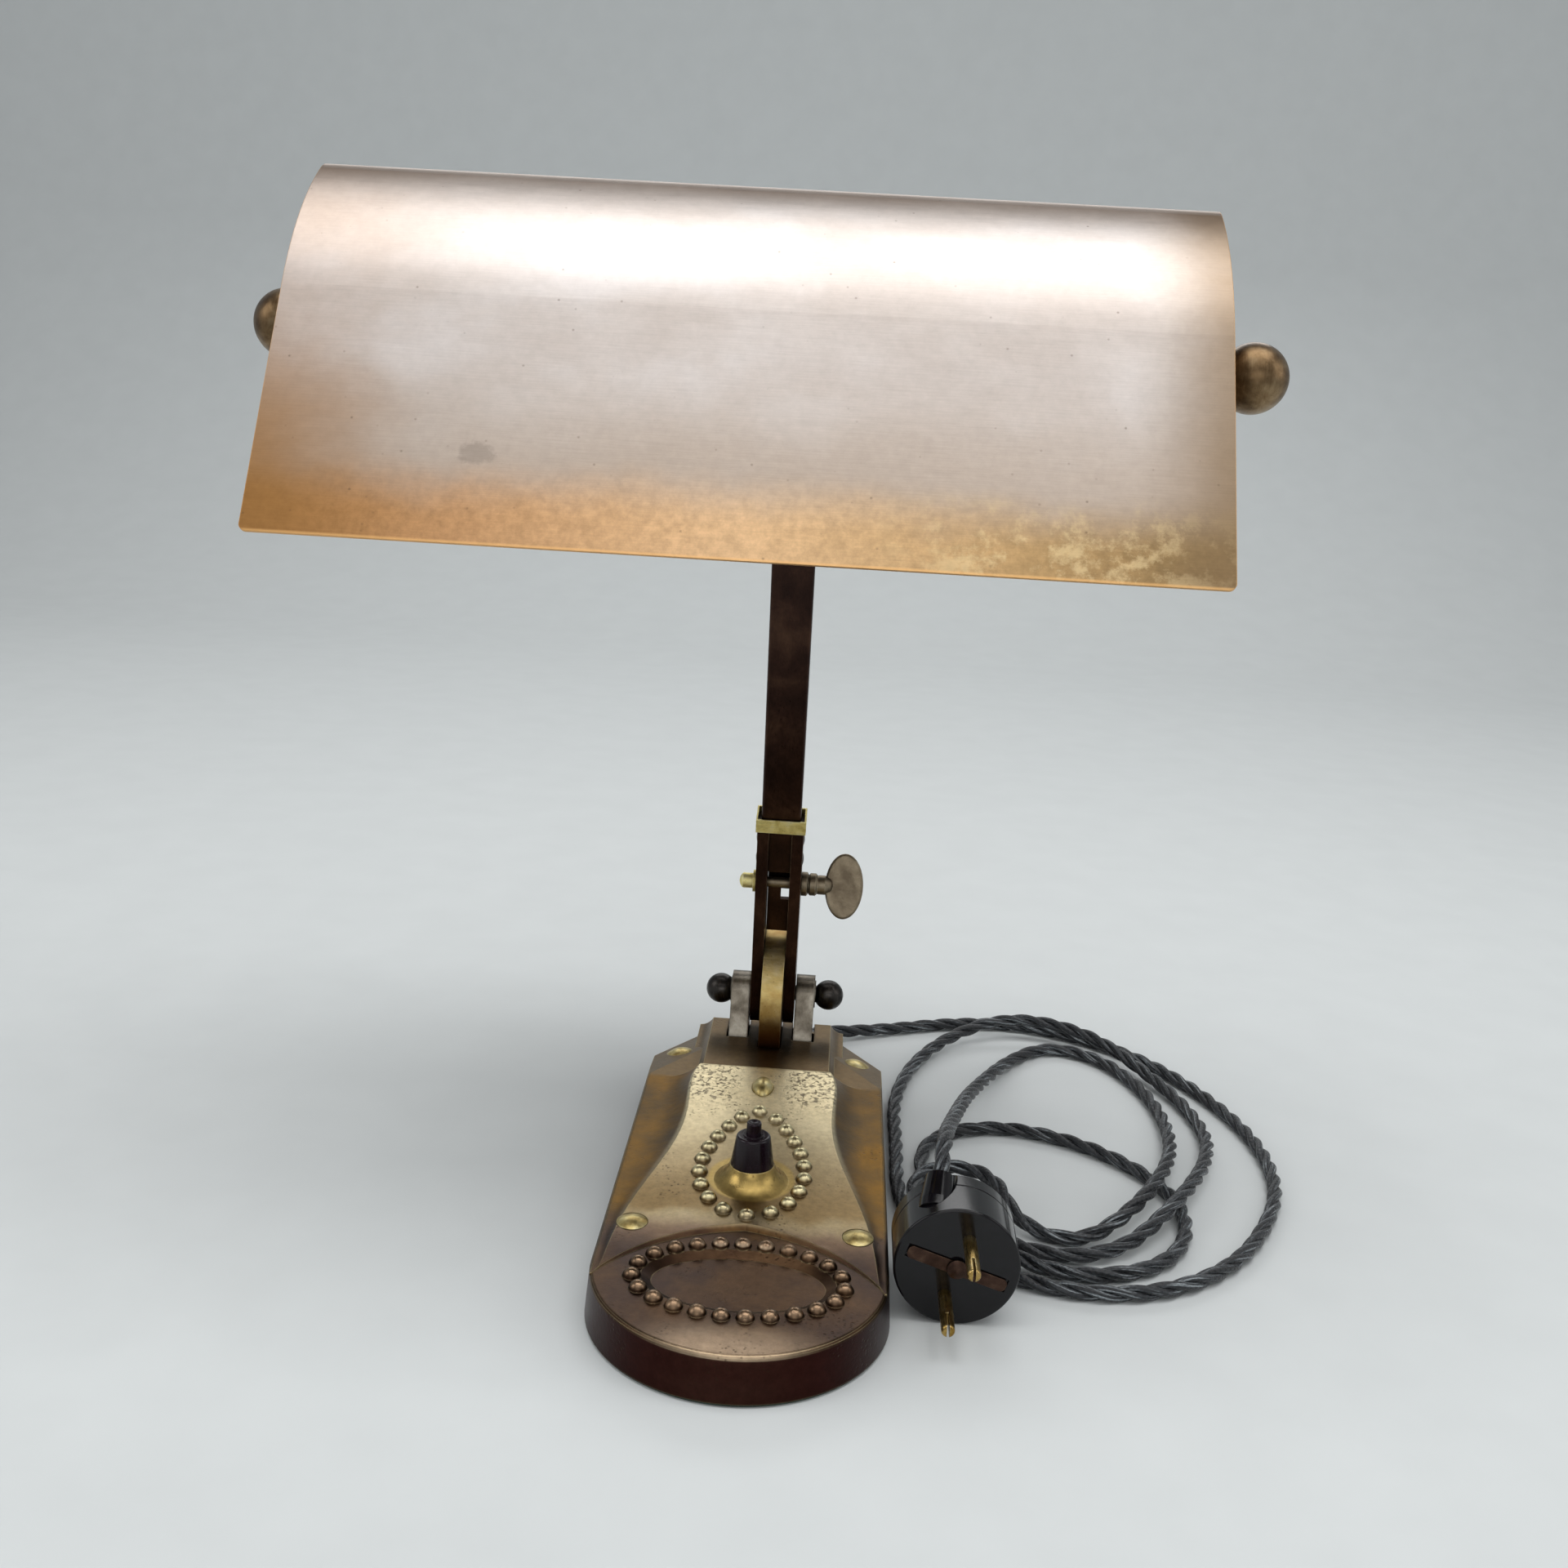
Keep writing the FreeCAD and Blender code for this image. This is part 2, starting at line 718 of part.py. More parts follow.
def facet_cutter(side):
    """A block above the sloping facet of one rear corner."""
    corner = Vector(side * base_half, mm(size.RearCornerY), mm(size.BaseHeight))
    inner = corner - facet_direction(side) * mm(size.FacetWidth)
    reach = mm(size.BaseWidth)
    cutter = Part.makeBox(reach, 2 * reach, 2 * mm(size.BaseHeight), Vector(0, -reach, 0))
    heading = math.degrees(math.atan2(facet_direction(side).y, facet_direction(side).x))
    turn = facet_rotation(side).multiply(Rotation(Vector(0, 0, 1), heading))
    cutter.Placement = Placement(inner, turn)
    return cutter


def base_relief():
    """Everything that stands up from the casting's flat top."""
    top = mm(size.BaseHeight)
    shelf_half = mm(size.ShelfHalf)
    shelf_top = top + mm(size.ShelfRise)
    shelf_ends = [
        cove_section(y, shelf_half, shelf_top, shelf_half + mm(size.ShelfCove), top - 1)
        for y in (mm(size.PanelRear) - 2, mm(size.CrestY) + 0.5)
    ]
    pieces = [Part.makeLoft(shelf_ends, True, True), raised_panel()]
    boss_z = panel_top(switch_y)
    low = boss_z - 3
    flank = Vector(mm(size.BossRadius), 0, boss_z - mm(size.BossSink))
    crown = Vector(mm(size.CollarRadius) + 0.2, 0, boss_z + mm(size.BossRise))
    chord = crown - flank
    hollow = mm(size.BossHollow)
    sag = hollow - math.sqrt(hollow ** 2 - (chord.Length / 2) ** 2)
    dip = (flank + crown) / 2 - Vector(chord.z, 0, -chord.x).normalize() * sag
    edges = [
        Part.LineSegment(Vector(0, 0, low), Vector(flank.x, 0, low)),
        Part.LineSegment(Vector(flank.x, 0, low), flank),
        Part.Arc(flank, dip, crown),
        Part.LineSegment(crown, Vector(0, 0, crown.z)),
        Part.LineSegment(Vector(0, 0, crown.z), Vector(0, 0, low)),
    ]
    half_section = Part.Face(Part.Wire([edge.toShape() for edge in edges]))
    boss = half_section.revolve(Vector(), Vector(0, 0, 1), 360)
    boss.translate(Vector(0, switch_y, 0))
    pieces.append(boss)
    for x, y in even_points(pear_curve, 20):
        pieces.append(bead(x, y, panel_top(y)))
    for x, y in even_points(oval_curve, 23):
        pieces.append(bead(x, y, top))
    return pieces


def ear_mortise(side):
    """Opening in the casting for an ear's foot."""
    gap = mm(size.MortiseGap)
    inner = mm(size.EarInner) - gap / 2
    outer = mm(size.EarInner + size.EarThick) + gap
    near, far = sorted((side * inner, side * outer))
    low = Vector(near, pivot.y + mm(size.EarFootFront) - gap, mm(size.WeightTop) - 1)
    high = Vector(far, pivot.y + mm(size.EarFootRear) + gap, mm(size.BaseHeight) * 2)
    return block(low, high)


def disc_slot(low, front):
    """Slot for the friction disc, from a height up."""
    half = mm(size.DiscThick / 2 + size.DiscSlotGap)
    rear = pivot.y + mm(size.DiscRear + size.DiscSlotGap)
    return block(Vector(-half, front, low), Vector(half, rear, mm(size.BaseHeight) * 2))


def disc_front(height):
    """Y of the disc's front edge at a height."""
    drop = mm(size.PivotZ) - height
    return pivot.y - math.sqrt(mm(size.DiscRadius) ** 2 - drop ** 2)


def stud_form(grow):
    """The long domed head of the panel's stud, cut off at its seat."""
    half = mm(size.StudHalf) + grow
    sink = mm(size.StudHalf - size.StudRise)
    scale = FreeCAD.Matrix()
    scale.scale(1, mm(size.StudLong / (size.StudHalf * 2)), 1)
    form = Part.makeSphere(half).transformGeometry(scale)
    form.translate(Vector(0, 0, -sink))
    long = mm(size.StudLong)
    return form.common(block(Vector(-long, -long, -mm(size.RivetSeat)), Vector(long, long, long)))


def rivet_drillings(low):
    """Holes for the rivets' shanks, from a height up."""
    radius = mm(size.RivetShank + size.FitGap)
    return [drilling(place.Base.x, place.Base.y, radius, low, 2 * mm(size.BaseHeight))
            for place in rivet_places()]


def base_cover():
    top = mm(size.BaseHeight)
    foot = mm(size.FeltThick)
    arris = mm(size.BaseArris)
    steps = [math.radians(angle) for angle in (0, 30, 60, 90)]
    rounding = [base_outline(-arris * (1 - math.cos(step)), top - arris * (1 - math.sin(step)))
                for step in steps]
    casting = Part.makeLoft([base_outline(mm(size.BaseFlare), foot)] + rounding, True, True)
    casting = casting.cut([facet_cutter(-1), facet_cutter(1)])
    casting = casting.fuse(base_relief())
    rear = mm(size.BaseRear)
    crest = mm(size.CrestY)
    crest_z = top + mm(size.ShelfRise)
    half = mm(size.BaseWidth)
    rear_z = crest_z - mm(size.RearDrop) * (rear + top - crest) / (rear - crest)
    wedge = Part.Face(Part.makePolygon([
        Vector(-half, crest, crest_z), Vector(-half, crest, crest_z + top),
        Vector(-half, rear + top, crest_z + top),
        Vector(-half, rear + top, rear_z),
        Vector(-half, crest, crest_z)]))
    cuts = [wedge.extrude(Vector(2 * half, 0, 0))]
    field_top = top + 0.01
    cuts.append(Part.makeLoft([
        ellipse_wire(0, field_top),
        ellipse_wire(mm(size.FieldDraft), top - mm(size.FieldDepth))], True, True))
    cuts.append(slab(-mm(size.BaseWall), foot - 1, mm(size.CavityTop)))
    pocket = mm(size.SwitchBodyRadius + size.SeatGap)
    cuts.append(drilling(0, switch_y, pocket, foot, panel_top(switch_y) - mm(size.BaseWall)))
    neck = mm(size.NeckRadius + size.FitGap)
    cuts.append(drilling(0, switch_y, neck, foot, 2 * top))
    cuts += [ear_mortise(-1), ear_mortise(1)]
    cuts.append(disc_slot(mm(size.CavityTop) - 1, disc_front(crest_z) - mm(size.SeatGap)))
    *rivets, stud = rivet_places()
    for place in rivets:
        seat = Part.makeCylinder(mm(size.RivetRadius + size.FitGap), 4,
                                 Vector(0, 0, -mm(size.RivetSeat)))
        seat.Placement = place
        cuts.append(seat)
    seat = stud_form(mm(size.FitGap))
    seat.Placement = stud
    cuts.append(seat)
    cuts += rivet_drillings(foot)
    hole = Part.makeCylinder(mm(size.CordRadius + size.BushWall + size.FitGap),
                             2 * mm(size.BaseWall), bush_foot(), Vector(0, 1, 0))
    cuts.append(hole)
    return shaped("base_cover", casting.cut(cuts).removeSplitter())


def bush_foot():
    """Inner end of the hole for the cord."""
    return Vector(mm(size.CordX), mm(size.BaseRear - size.BaseWall) - 0.5, mm(size.CordZ))


def base_weight():
    plate_top = mm(size.FeltThick + size.PlateThick)
    inset = -mm(size.BaseWall + size.SeatGap)
    weight = slab(inset, plate_top, mm(size.WeightTop))
    seat_z = mm(size.WeightTop - size.DiscSeat)
    slot_front = disc_front(mm(size.WeightTop)) - mm(size.SeatGap)
    cuts = [disc_slot(seat_z, slot_front)]
    cuts.append(drilling(0, switch_y, mm(size.SwitchBodyRadius + size.SeatGap),
                         plate_top, mm(size.WeightTop)))
    cuts += rivet_drillings(plate_top)
    for x, y in ear_screw_points():
        cuts.append(drilling(x, y, mm(size.EarScrew + size.FitGap), plate_top, mm(size.WeightTop)))
        head_top = plate_top + mm(size.EarScrewHeadThick)
        cuts.append(drilling(x, y, mm(size.EarScrewHead + size.FitGap), plate_top, head_top))
    lead_half = mm(size.CordRadius)
    rear = mm(size.BaseRear)
    cuts.append(block(Vector(mm(size.CordX) - lead_half, rear - mm(size.LeadSlot),
                             mm(size.CordZ) - lead_half),
                      Vector(mm(size.CordX) + lead_half, rear, mm(size.BaseHeight))))
    return shaped("base_weight", weight.cut(cuts))


def bottom_plate():
    plate_low = mm(size.FeltThick)
    sheet_metal = slab(-mm(size.BaseWall + size.SeatGap), plate_low,
                       plate_low + mm(size.PlateThick))
    return shaped("bottom_plate", sheet_metal.cut(rivet_drillings(0)))


def base_felt():
    return shaped("base_felt", slab(mm(size.BaseFlare - size.FeltInset), 0, mm(size.FeltThick)))


def cover_rivets():
    """Domed rivets and a long stud through the casting, the weight and the bottom plate."""
    solids = []
    dome = mm(size.RivetDome)
    radius = mm(size.RivetRadius)
    seat = mm(size.RivetSeat)
    sphere = (radius ** 2 + dome ** 2) / (2 * dome)
    round_head = Part.makeCylinder(radius, seat + dome, Vector(0, 0, -seat))
    round_head = round_head.common(Part.makeSphere(sphere, Vector(0, 0, dome - sphere)))
    places = rivet_places()
    for place in places:
        head = stud_form(0) if place is places[-1] else round_head.copy()
        head.Placement = place
        shank = drilling(place.Base.x, place.Base.y, mm(size.RivetShank),
                         mm(size.FeltThick), place.Base.z)
        solids.append(head.fuse(shank).removeSplitter())
    return shaped("cover_rivets", Part.makeCompound(solids))


# Push switch

def push_switch():
    boss_top = panel_top(switch_y) + mm(size.BossRise)
    place = Placement(Vector(0, switch_y, boss_top), Rotation())
    inner = size.NeckRadius + size.PlungerGap
    roof = size.CollarHeight - size.CollarRoof
    bore = size.PlungerRadius + size.PlungerGap
    turned("switch_collar", [
        (inner, 0), (size.CollarRadius, 0),
        (size.CollarTopRadius, size.CollarHeight - size.CollarShoulder),
        (size.CollarTopRadius - size.CollarShoulder, size.CollarHeight, size.CollarShoulder * 1.05),
        (size.CollarRing, size.CollarHeight),
        (size.CollarRing, size.CollarHeight + size.CollarRingRise),
        (bore, size.CollarHeight + size.CollarRingRise), (bore, roof), (inner, roof),
    ], place)
    pocket_top = panel_top(switch_y) - mm(size.BaseWall)
    floor = mm(size.SwitchBodyFoot) - boss_top
    body_top = pocket_top - boss_top
    tail = roof - size.PlungerStop - size.PlungerGap
    well = tail - size.PlungerTail - size.PressTravel
    turned("switch_body", [
        (0, floor), (size.SwitchBodyRadius, floor), (size.SwitchBodyRadius, body_top),
        (size.NeckRadius, body_top), (size.NeckRadius, size.NeckHeight),
        (bore, size.NeckHeight), (bore, well - 1), (0, well - 1),
    ], place)
    top = size.CollarHeight + size.PlungerProud
    turned("switch_plunger", [
        (0, tail - size.PlungerTail), (size.PlungerRadius, tail - size.PlungerTail),
        (size.PlungerRadius, tail), (size.NeckRadius - 0.8, tail),
        (size.NeckRadius - 0.8, tail + size.PlungerStop),
        (size.PlungerRadius, tail + size.PlungerStop), (size.PlungerRadius, top - 0.5),
        (size.PlungerRadius - 0.5, top, 0.51), (size.DimpleRadius, top),
        (0, top - size.DimpleDepth, -dome_radius(size.DimpleRadius, size.DimpleDepth)),
    ], place)


# Hinge between base and arm

def ear_screw_points():
    middle = mm(size.EarInner + size.EarThick / 2)
    y = pivot.y + mm(size.EarFootFront + size.EarFootRear) / 2
    return [(-middle, y), (middle, y)]


def tangent_corner(point, radius, side):
    """Where a line from a point touches a circle about the origin, as two sizes."""
    distance = math.hypot(mm(point[0]), mm(point[1]))
    heading = math.atan2(mm(point[1]), mm(point[0]))
    angle = heading + side * math.acos(mm(radius) / distance)
    return radius * math.cos(angle), radius * math.sin(angle)


def ears():
    """Two steel ears that stand on the weight and carry the pivot bolt."""
    foot = size.WeightTop - size.PivotZ
    shoulder = size.BaseHeight + 1 - size.PivotZ
    front = size.EarFootFront
    rear = size.EarFootRear
    touch = tangent_corner((front, shoulder), size.EarLug, -1)
    lug = size.EarLug
    outline = [
        (front, foot), (rear, foot), (rear, shoulder),
        (lug, 0), (0, lug, lug), (touch[0], touch[1], lug),
        (front, shoulder),
    ]
    for name, side in (("left_ear", -1), ("right_ear", 1)):
        near = mm(size.EarInner) if side > 0 else -mm(size.EarInner + size.EarThick)
        place = Placement(Vector(near, pivot.y, pivot.z), Rotation())
        ear = plate(name, "YZ_Plane", [outline], [(0, 0, size.PivotBolt + size.FitGap)],
                    size.EarThick, place)
        hole = ear.newObject("PartDesign::SubtractiveCylinder", name + "_screw_hole")
        hole.setExpression("Radius", expression(size.EarScrew + size.FitGap))
        hole.setExpression("Height", expression(size.EarScrewReach + 0.5))
        hole.Placement = Placement(Vector(mm(size.EarThick) / 2,
                                          mm(front + rear) / 2, mm(foot)), Rotation())
        ear.Tip = hole


def ear_screws():
    plate_top = mm(size.FeltThick + size.PlateThick)
    head = mm(size.EarScrewHeadThick)
    shank_top = mm(size.WeightTop + size.EarScrewReach)
    gap = mm(size.FitGap)
    screw = Part.makeCylinder(mm(size.EarScrewHead), head - gap, Vector(0, 0, plate_top))
    screw = screw.fuse(Part.makeCylinder(mm(size.EarScrew), shank_top - plate_top,
                                         Vector(0, 0, plate_top))).removeSplitter()
    places = [Placement(Vector(x, y, 0), Rotation()) for x, y in ear_screw_points()]
    group("ear_screws", screw, places)


def friction_disc():
    """The fixed brass disc that the fork's legs grip, flat at the rear and at its seat."""
    seat = mm(size.WeightTop - size.DiscSeat) - pivot.z
    radius = mm(size.DiscRadius)
    rear = mm(size.DiscRear)
    seat_front = -math.sqrt(radius ** 2 - seat ** 2)
    rear_top = math.sqrt(radius ** 2 - rear ** 2)
    seat_size = size.WeightTop - size.DiscSeat - size.PivotZ
    outline = [
        (-seat_front, seat_size), (size.DiscRear, -rear_top, size.DiscRadius),
        (size.DiscRear, rear_top), (0, size.DiscRadius, size.DiscRadius),
        (-size.DiscRadius, 0, size.DiscRadius), (seat_front, seat_size, size.DiscRadius),
    ]
    place = Placement(pivot - Vector(mm(size.DiscThick) / 2, 0, 0), Rotation())
    plate("friction_disc", "YZ_Plane", [outline], [(0, 0, size.PivotBolt + size.FitGap)],
          size.DiscThick, place)


def pivot_hardware():
    ear_outer = size.EarInner + size.EarThick
    washer_outer = ear_outer + size.PivotWasherThick
    bolt_half = washer_outer + size.BallBore
    turned("pivot_bolt", [
        (0, -bolt_half), (size.PivotBolt, -bolt_half), (size.PivotBolt, bolt_half),
        (0, bolt_half),
    ], Placement(pivot, ALONG_X))
    bore = size.PivotBolt + size.FitGap
    for name, side, neck, turn in (
            ("pivot_ball_left", -1, size.PivotNeckLeft, ALONG_MINUS_X),
            ("pivot_ball_right", 1, size.PivotNeckRight, ALONG_X)):
        flat = math.sqrt(mm(size.PivotBall) ** 2 - mm(neck) ** 2)
        ball_centre = size.PivotNeckLong + flat
        foot = pivot + Vector(side * mm(washer_outer), 0, 0)
        turned(name, [
            (bore, 0), (neck, 0), (neck, size.PivotNeckLong),
            (size.PivotBall, ball_centre, size.PivotBall),
            (0, ball_centre + size.PivotBall, size.PivotBall),
            (0, size.BallBore + 0.4), (bore, size.BallBore + 0.4),
        ], Placement(foot, turn))
    washer = Part.makeCylinder(mm(size.PivotWasher), mm(size.PivotWasherThick), Vector(),
                               Vector(1, 0, 0))
    washer = washer.cut(Part.makeCylinder(mm(bore), mm(size.PivotWasherThick), Vector(),
                                          Vector(1, 0, 0)))
    starts = (-mm(washer_outer), mm(ear_outer))
    group("pivot_washers", washer,
          [Placement(pivot + Vector(x, 0, 0), Rotation()) for x in starts])


# Arm

def fork_legs():
    """Two long plates that grip the disc, round at the pivot and narrow at the ferrule."""
    inner = size.DiscThick / 2 + size.LegGap
    touch = tangent_corner((size.LegTopHalf, size.LegTop), size.LegEnd, -1)
    end = size.LegEnd
    outline = [
        (size.LegTopHalf, size.LegTop), (-size.LegTopHalf, size.LegTop),
        (-touch[0], touch[1]), (-end, 0, end), (0, -end, end), (end, 0, end),
        (touch[0], touch[1], end),
    ]
    circles = [
        (0, 0, size.PivotBolt + size.TurnGap),
        (0, size.ThumbAlong, size.ThumbShank + size.TurnGap),
        (0, size.ForkRivetLow, size.ForkRivet + size.FitGap),
        (0, size.ForkRivetHigh, size.ForkRivet + size.FitGap),
    ]
    for name, side in (("fork_leg_left", -1), ("fork_leg_right", 1)):
        near = mm(inner) if side > 0 else -mm(inner + size.LegThick)
        place = arm_place.multiply(Placement(Vector(near, 0, 0), Rotation()))
        plate(name, "YZ_Plane", [outline], circles, size.LegThick, place)


def spacer_block():
    """Block between the legs, with a tenon that goes up into the stem and a notched tongue
    that closes the gap behind the clamp screw, down to the disc."""
    half = size.DiscThick / 2 + size.LegGap
    step = size.LegTop
    outline = [
        (-half, size.SpacerFoot), (half, size.SpacerFoot), (half, step),
        (size.TenonHalfX, step), (size.TenonHalfX, size.TenonTop),
        (-size.TenonHalfX, size.TenonTop), (-size.TenonHalfX, step), (-half, step),
    ]
    body = new_body("spacer_block")
    sketch = new_sketch(body, "XZ_Plane", [outline])
    pad = body.newObject("PartDesign::Pad", "spacer_pad")
    pad.Profile = sketch
    pad.Midplane = True
    pad.setExpression("Length", expression(size.TenonHalfY * 2))
    body.Tip = pad
    wide = mm(half - size.TongueGap)
    front, foot = mm(size.TongueFront), mm(size.TongueFoot)
    tongue = body.newObject("PartDesign::AdditiveBox", "spacer_tongue")
    tongue.setExpression("Length", expression((half - size.TongueGap) * 2))
    tongue.setExpression("Width", expression(size.TongueThick))
    tongue.setExpression("Height", expression(size.TongueTop - size.TongueFoot))
    tongue.Placement = Placement(Vector(-wide, front, foot), Rotation())
    notch = body.newObject("PartDesign::SubtractiveBox", "spacer_notch")
    notch.setExpression("Length", expression(size.NotchWide))
    notch.setExpression("Width", expression(size.TongueThick + 1))
    notch.setExpression("Height", expression(size.NotchTall))
    notch.Placement = Placement(Vector(wide - mm(size.NotchWide) + 0.01, front - 0.5,
                                       mm(size.NotchLow)), Rotation())
    for low, name in ((size.ForkRivetLow, "low"), (size.ForkRivetHigh, "high")):
        hole = body.newObject("PartDesign::SubtractiveCylinder", "spacer_hole_" + name)
        hole.setExpression("Radius", expression(size.ForkRivet + size.FitGap))
        hole.setExpression("Height", expression(half * 2))
        hole.Placement = Placement(Vector(-mm(half), 0, mm(low)), ALONG_X)
        body.Tip = hole
    body.Placement = arm_place


def fork_rivets():
    half = mm(size.DiscThick / 2 + size.LegGap + size.LegThick)
    radius = mm(size.ForkRivet)
    head = mm(size.ForkRivetHead)
    rise = mm(size.ForkRivetRise)
    sphere = (head ** 2 + rise ** 2) / (2 * rise)
    shank = Part.makeCylinder(radius, 2 * half, Vector(-half, 0, 0), Vector(1, 0, 0))
    parts = []
    for side in (-1, 1):
        face = Vector(side * half, 0, 0)
        cap = Part.makeCylinder(head, rise, face, Vector(side, 0, 0))
        ball = Part.makeSphere(sphere, face + Vector(side * (rise - sphere), 0, 0))
        parts.append(cap.common(ball))
    rivet = shank.fuse(parts).removeSplitter()
    places = [arm_place.multiply(Placement(Vector(0, 0, mm(along)), Rotation()))
              for along in (size.ForkRivetLow, size.ForkRivetHigh)]
    group("fork_rivets", rivet, places)


def ferrule():
    """Brass band round the legs' tops."""
    half_x = size.DiscThick / 2 + size.LegGap + size.LegThick + size.FerruleGap
    half_y = size.LegTopHalf + size.FerruleSlack
    wall = size.FerruleWall
    body = new_body("ferrule")
    outer = rectangle(-half_x - wall, -half_y - wall, half_x + wall, half_y + wall)
    inner = rectangle(-half_x, -half_y, half_x, half_y)
    sketch = new_sketch(body, "XY_Plane", [outer, inner])
    pad = body.newObject("PartDesign::Pad", "ferrule_pad")
    pad.Profile = sketch
    pad.setExpression("Length", expression(size.FerruleTall))
    body.Tip = pad
    body.Placement = arm_place.multiply(Placement(Vector(0, 0, mm(size.FerruleFoot)), Rotation()))


def stem():
    """Flat tube from the ferrule to the head."""
    body = new_body("stem")
    half_x, half_y = size.StemWide / 2, size.StemDeep / 2
    wall = size.StemWall
    loops = [rounded_rectangle(half_x, half_y, size.StemCorner),
             rectangle(-half_x + wall, -half_y + wall, half_x - wall, half_y - wall)]
    sketch = new_sketch(body, "XY_Plane", loops)
    pad = body.newObject("PartDesign::Pad", "stem_pad")
    pad.Profile = sketch
    pad.setExpression("Length", expression(size.ArmLength - size.HeadShoulder - size.LegTop))
    body.Tip = pad
    body.Placement = arm_place.multiply(Placement(Vector(0, 0, mm(size.LegTop)), Rotation()))


def stem_head():
    """Eye that holds the cross rod, with a tenon in the stem."""
    radius = size.HeadRadius
    shoulder = -size.HeadShoulder
    half = size.StemDeep / 2
    tenon = half - size.StemWall - size.FitGap
    meet = mm(radius) ** 2 - mm(half) ** 2
    low = -math.sqrt(meet)
    outline = [
        (tenon, shoulder - size.HeadTenon), (tenon, shoulder), (half, shoulder), (half, low),
        (radius, 0, radius), (0, radius, radius), (-radius, 0, radius), (-half, low, radius),
        (-half, shoulder), (-tenon, shoulder), (-tenon, shoulder - size.HeadTenon),
    ]
    wide = size.StemWide - size.StemWall * 2 - size.FitGap * 2
    place = Placement(rod, Rotation(Vector(1, 0, 0), mm(size.ArmLean)))
    place = place.multiply(Placement(Vector(-mm(wide) / 2, 0, 0), Rotation()))
    plate("stem_head", "YZ_Plane", [outline], [(0, 0, size.RodRadius + size.FitGap)], wide, place)


def thumb_screw():
    """Clamp screw through both legs: grooved neck and a flat oval paddle."""
    leg_outer = mm(size.DiscThick / 2 + size.LegGap + size.LegThick)
    washer = mm(size.TurnGap)
    place = arm_place.multiply(Placement(Vector(leg_outer + washer, 0, mm(size.ThumbAlong)),
                                         Rotation()))
    neck = mm(size.ThumbNeck)
    waist = mm(size.ThumbWaist)
    long = mm(size.ThumbNeckLong)
    groove = mm(size.ThumbGroove)
    # radius and height of each corner of the ringed neck
    profile = [(0, 0), (neck, 0), (neck, 0.24 * long), (groove, 0.3 * long),
               (neck - 0.3, 0.38 * long), (neck - 0.3, 0.6 * long), (groove, 0.68 * long),
               (waist, 0.76 * long), (waist, long), (waist - 0.9, long + 2.2),
               (1.2, long + 3.4), (0, long + 3.4), (0, 0)]
    points = [Vector(radius, 0, height) for radius, height in profile]
    neck_solid = Part.Face(Part.makePolygon(points)).revolve(Vector(), Vector(0, 0, 1), 360)
    shank_long = 2 * leg_outer + mm(size.NutBoreLong)
    shank = Part.makeCylinder(mm(size.ThumbShank), shank_long + 1, Vector(0, 0, 1),
                              Vector(0, 0, -1))
    thick = mm(size.PaddleThick)
    tall = mm(size.PaddleTall)
    wide = mm(size.PaddleLong)
    oval = Part.Ellipse(Vector(), tall / 2, wide / 2)
    paddle = Part.Face(Part.Wire([oval.toShape()])).extrude(Vector(0, 0, thick))
    rims = [edge for edge in paddle.Edges if edge.Closed]
    paddle = paddle.makeFillet(mm(size.PaddleEdge), rims)
    paddle.Placement = Placement(Vector(0, thick / 2, long + wide / 2), ALONG_MINUS_Y)
    screw = neck_solid.fuse([shank, paddle]).removeSplitter()
    feature = shaped("thumb_screw", screw)
    rest = Rotation(Vector(0, 0, 1), mm(size.ThumbTurn))
    feature.Placement = place.multiply(Placement(Vector(), ALONG_X.multiply(rest)))


def screw_nut():
    """Brass nut on the left leg with a round end."""
    leg_outer = mm(size.DiscThick / 2 + size.LegGap + size.LegThick)
    bore = size.ThumbShank + size.FitGap
    rise = size.NutCrown
    turned("screw_nut", [
        (bore, 0), (size.NutFlange, 0), (size.NutFlange, size.NutFlangeThick),
        (size.NutRadius, size.NutFlangeThick), (size.NutRadius, size.NutLong - rise),
        (0, size.NutLong, dome_radius(size.NutRadius, rise)), (0, size.NutBoreLong),
        (bore, size.NutBoreLong),
    ], arm_place.multiply(Placement(Vector(-leg_outer, 0, mm(size.ThumbAlong)), ALONG_MINUS_X)))


# Cross rod, shade and knobs

def shade_half(inset):
    """Corner points of half the shade's curve, the front edge first, with its centres."""
    crest = mm(size.CrestRadius)
    shoulder = mm(size.ShoulderRadius)
    crest_centre = Vector(0, 0, mm(size.ShadeCrest) - crest)
    crest_end = shade_point(size.CrestAngle, crest, crest_centre)
    towards = (crest_centre - crest_end).normalize()
    shoulder_centre = crest_end + towards * shoulder
    skirt_top = shade_point(size.SkirtAngle, shoulder - inset, shoulder_centre)
    slope = math.radians(mm(size.SkirtAngle))
    skirt_end = skirt_top - Vector(0, math.cos(slope), math.sin(slope)) * mm(size.SkirtLong)
    middle_angle = (size.CrestAngle + size.SkirtAngle) / 2
    shoulder_middle = shade_point(middle_angle, shoulder - inset, shoulder_centre)
    crest_end = shade_point(size.CrestAngle, crest - inset, crest_centre)
    top = Vector(0, 0, mm(size.ShadeCrest) - inset)
    return skirt_end, skirt_top, shoulder_middle, crest_end, top


def shade_edges(inset):
    """Edges of the shade's whole curve, from the front edge over the crest to the rear."""
    def rear(point):
        return Vector(point.x, -point.y, point.z)

    skirt_end, skirt_top, shoulder_middle, crest_end, top = shade_half(inset)
    return [
        Part.LineSegment(skirt_end, skirt_top).toShape(),
        Part.Arc(skirt_top, shoulder_middle, crest_end).toShape(),
        Part.Arc(crest_end, top, rear(crest_end)).toShape(),
        Part.Arc(rear(crest_end), rear(shoulder_middle), rear(skirt_top)).toShape(),
        Part.LineSegment(rear(skirt_top), rear(skirt_end)).toShape(),
    ], skirt_end, rear(skirt_end)


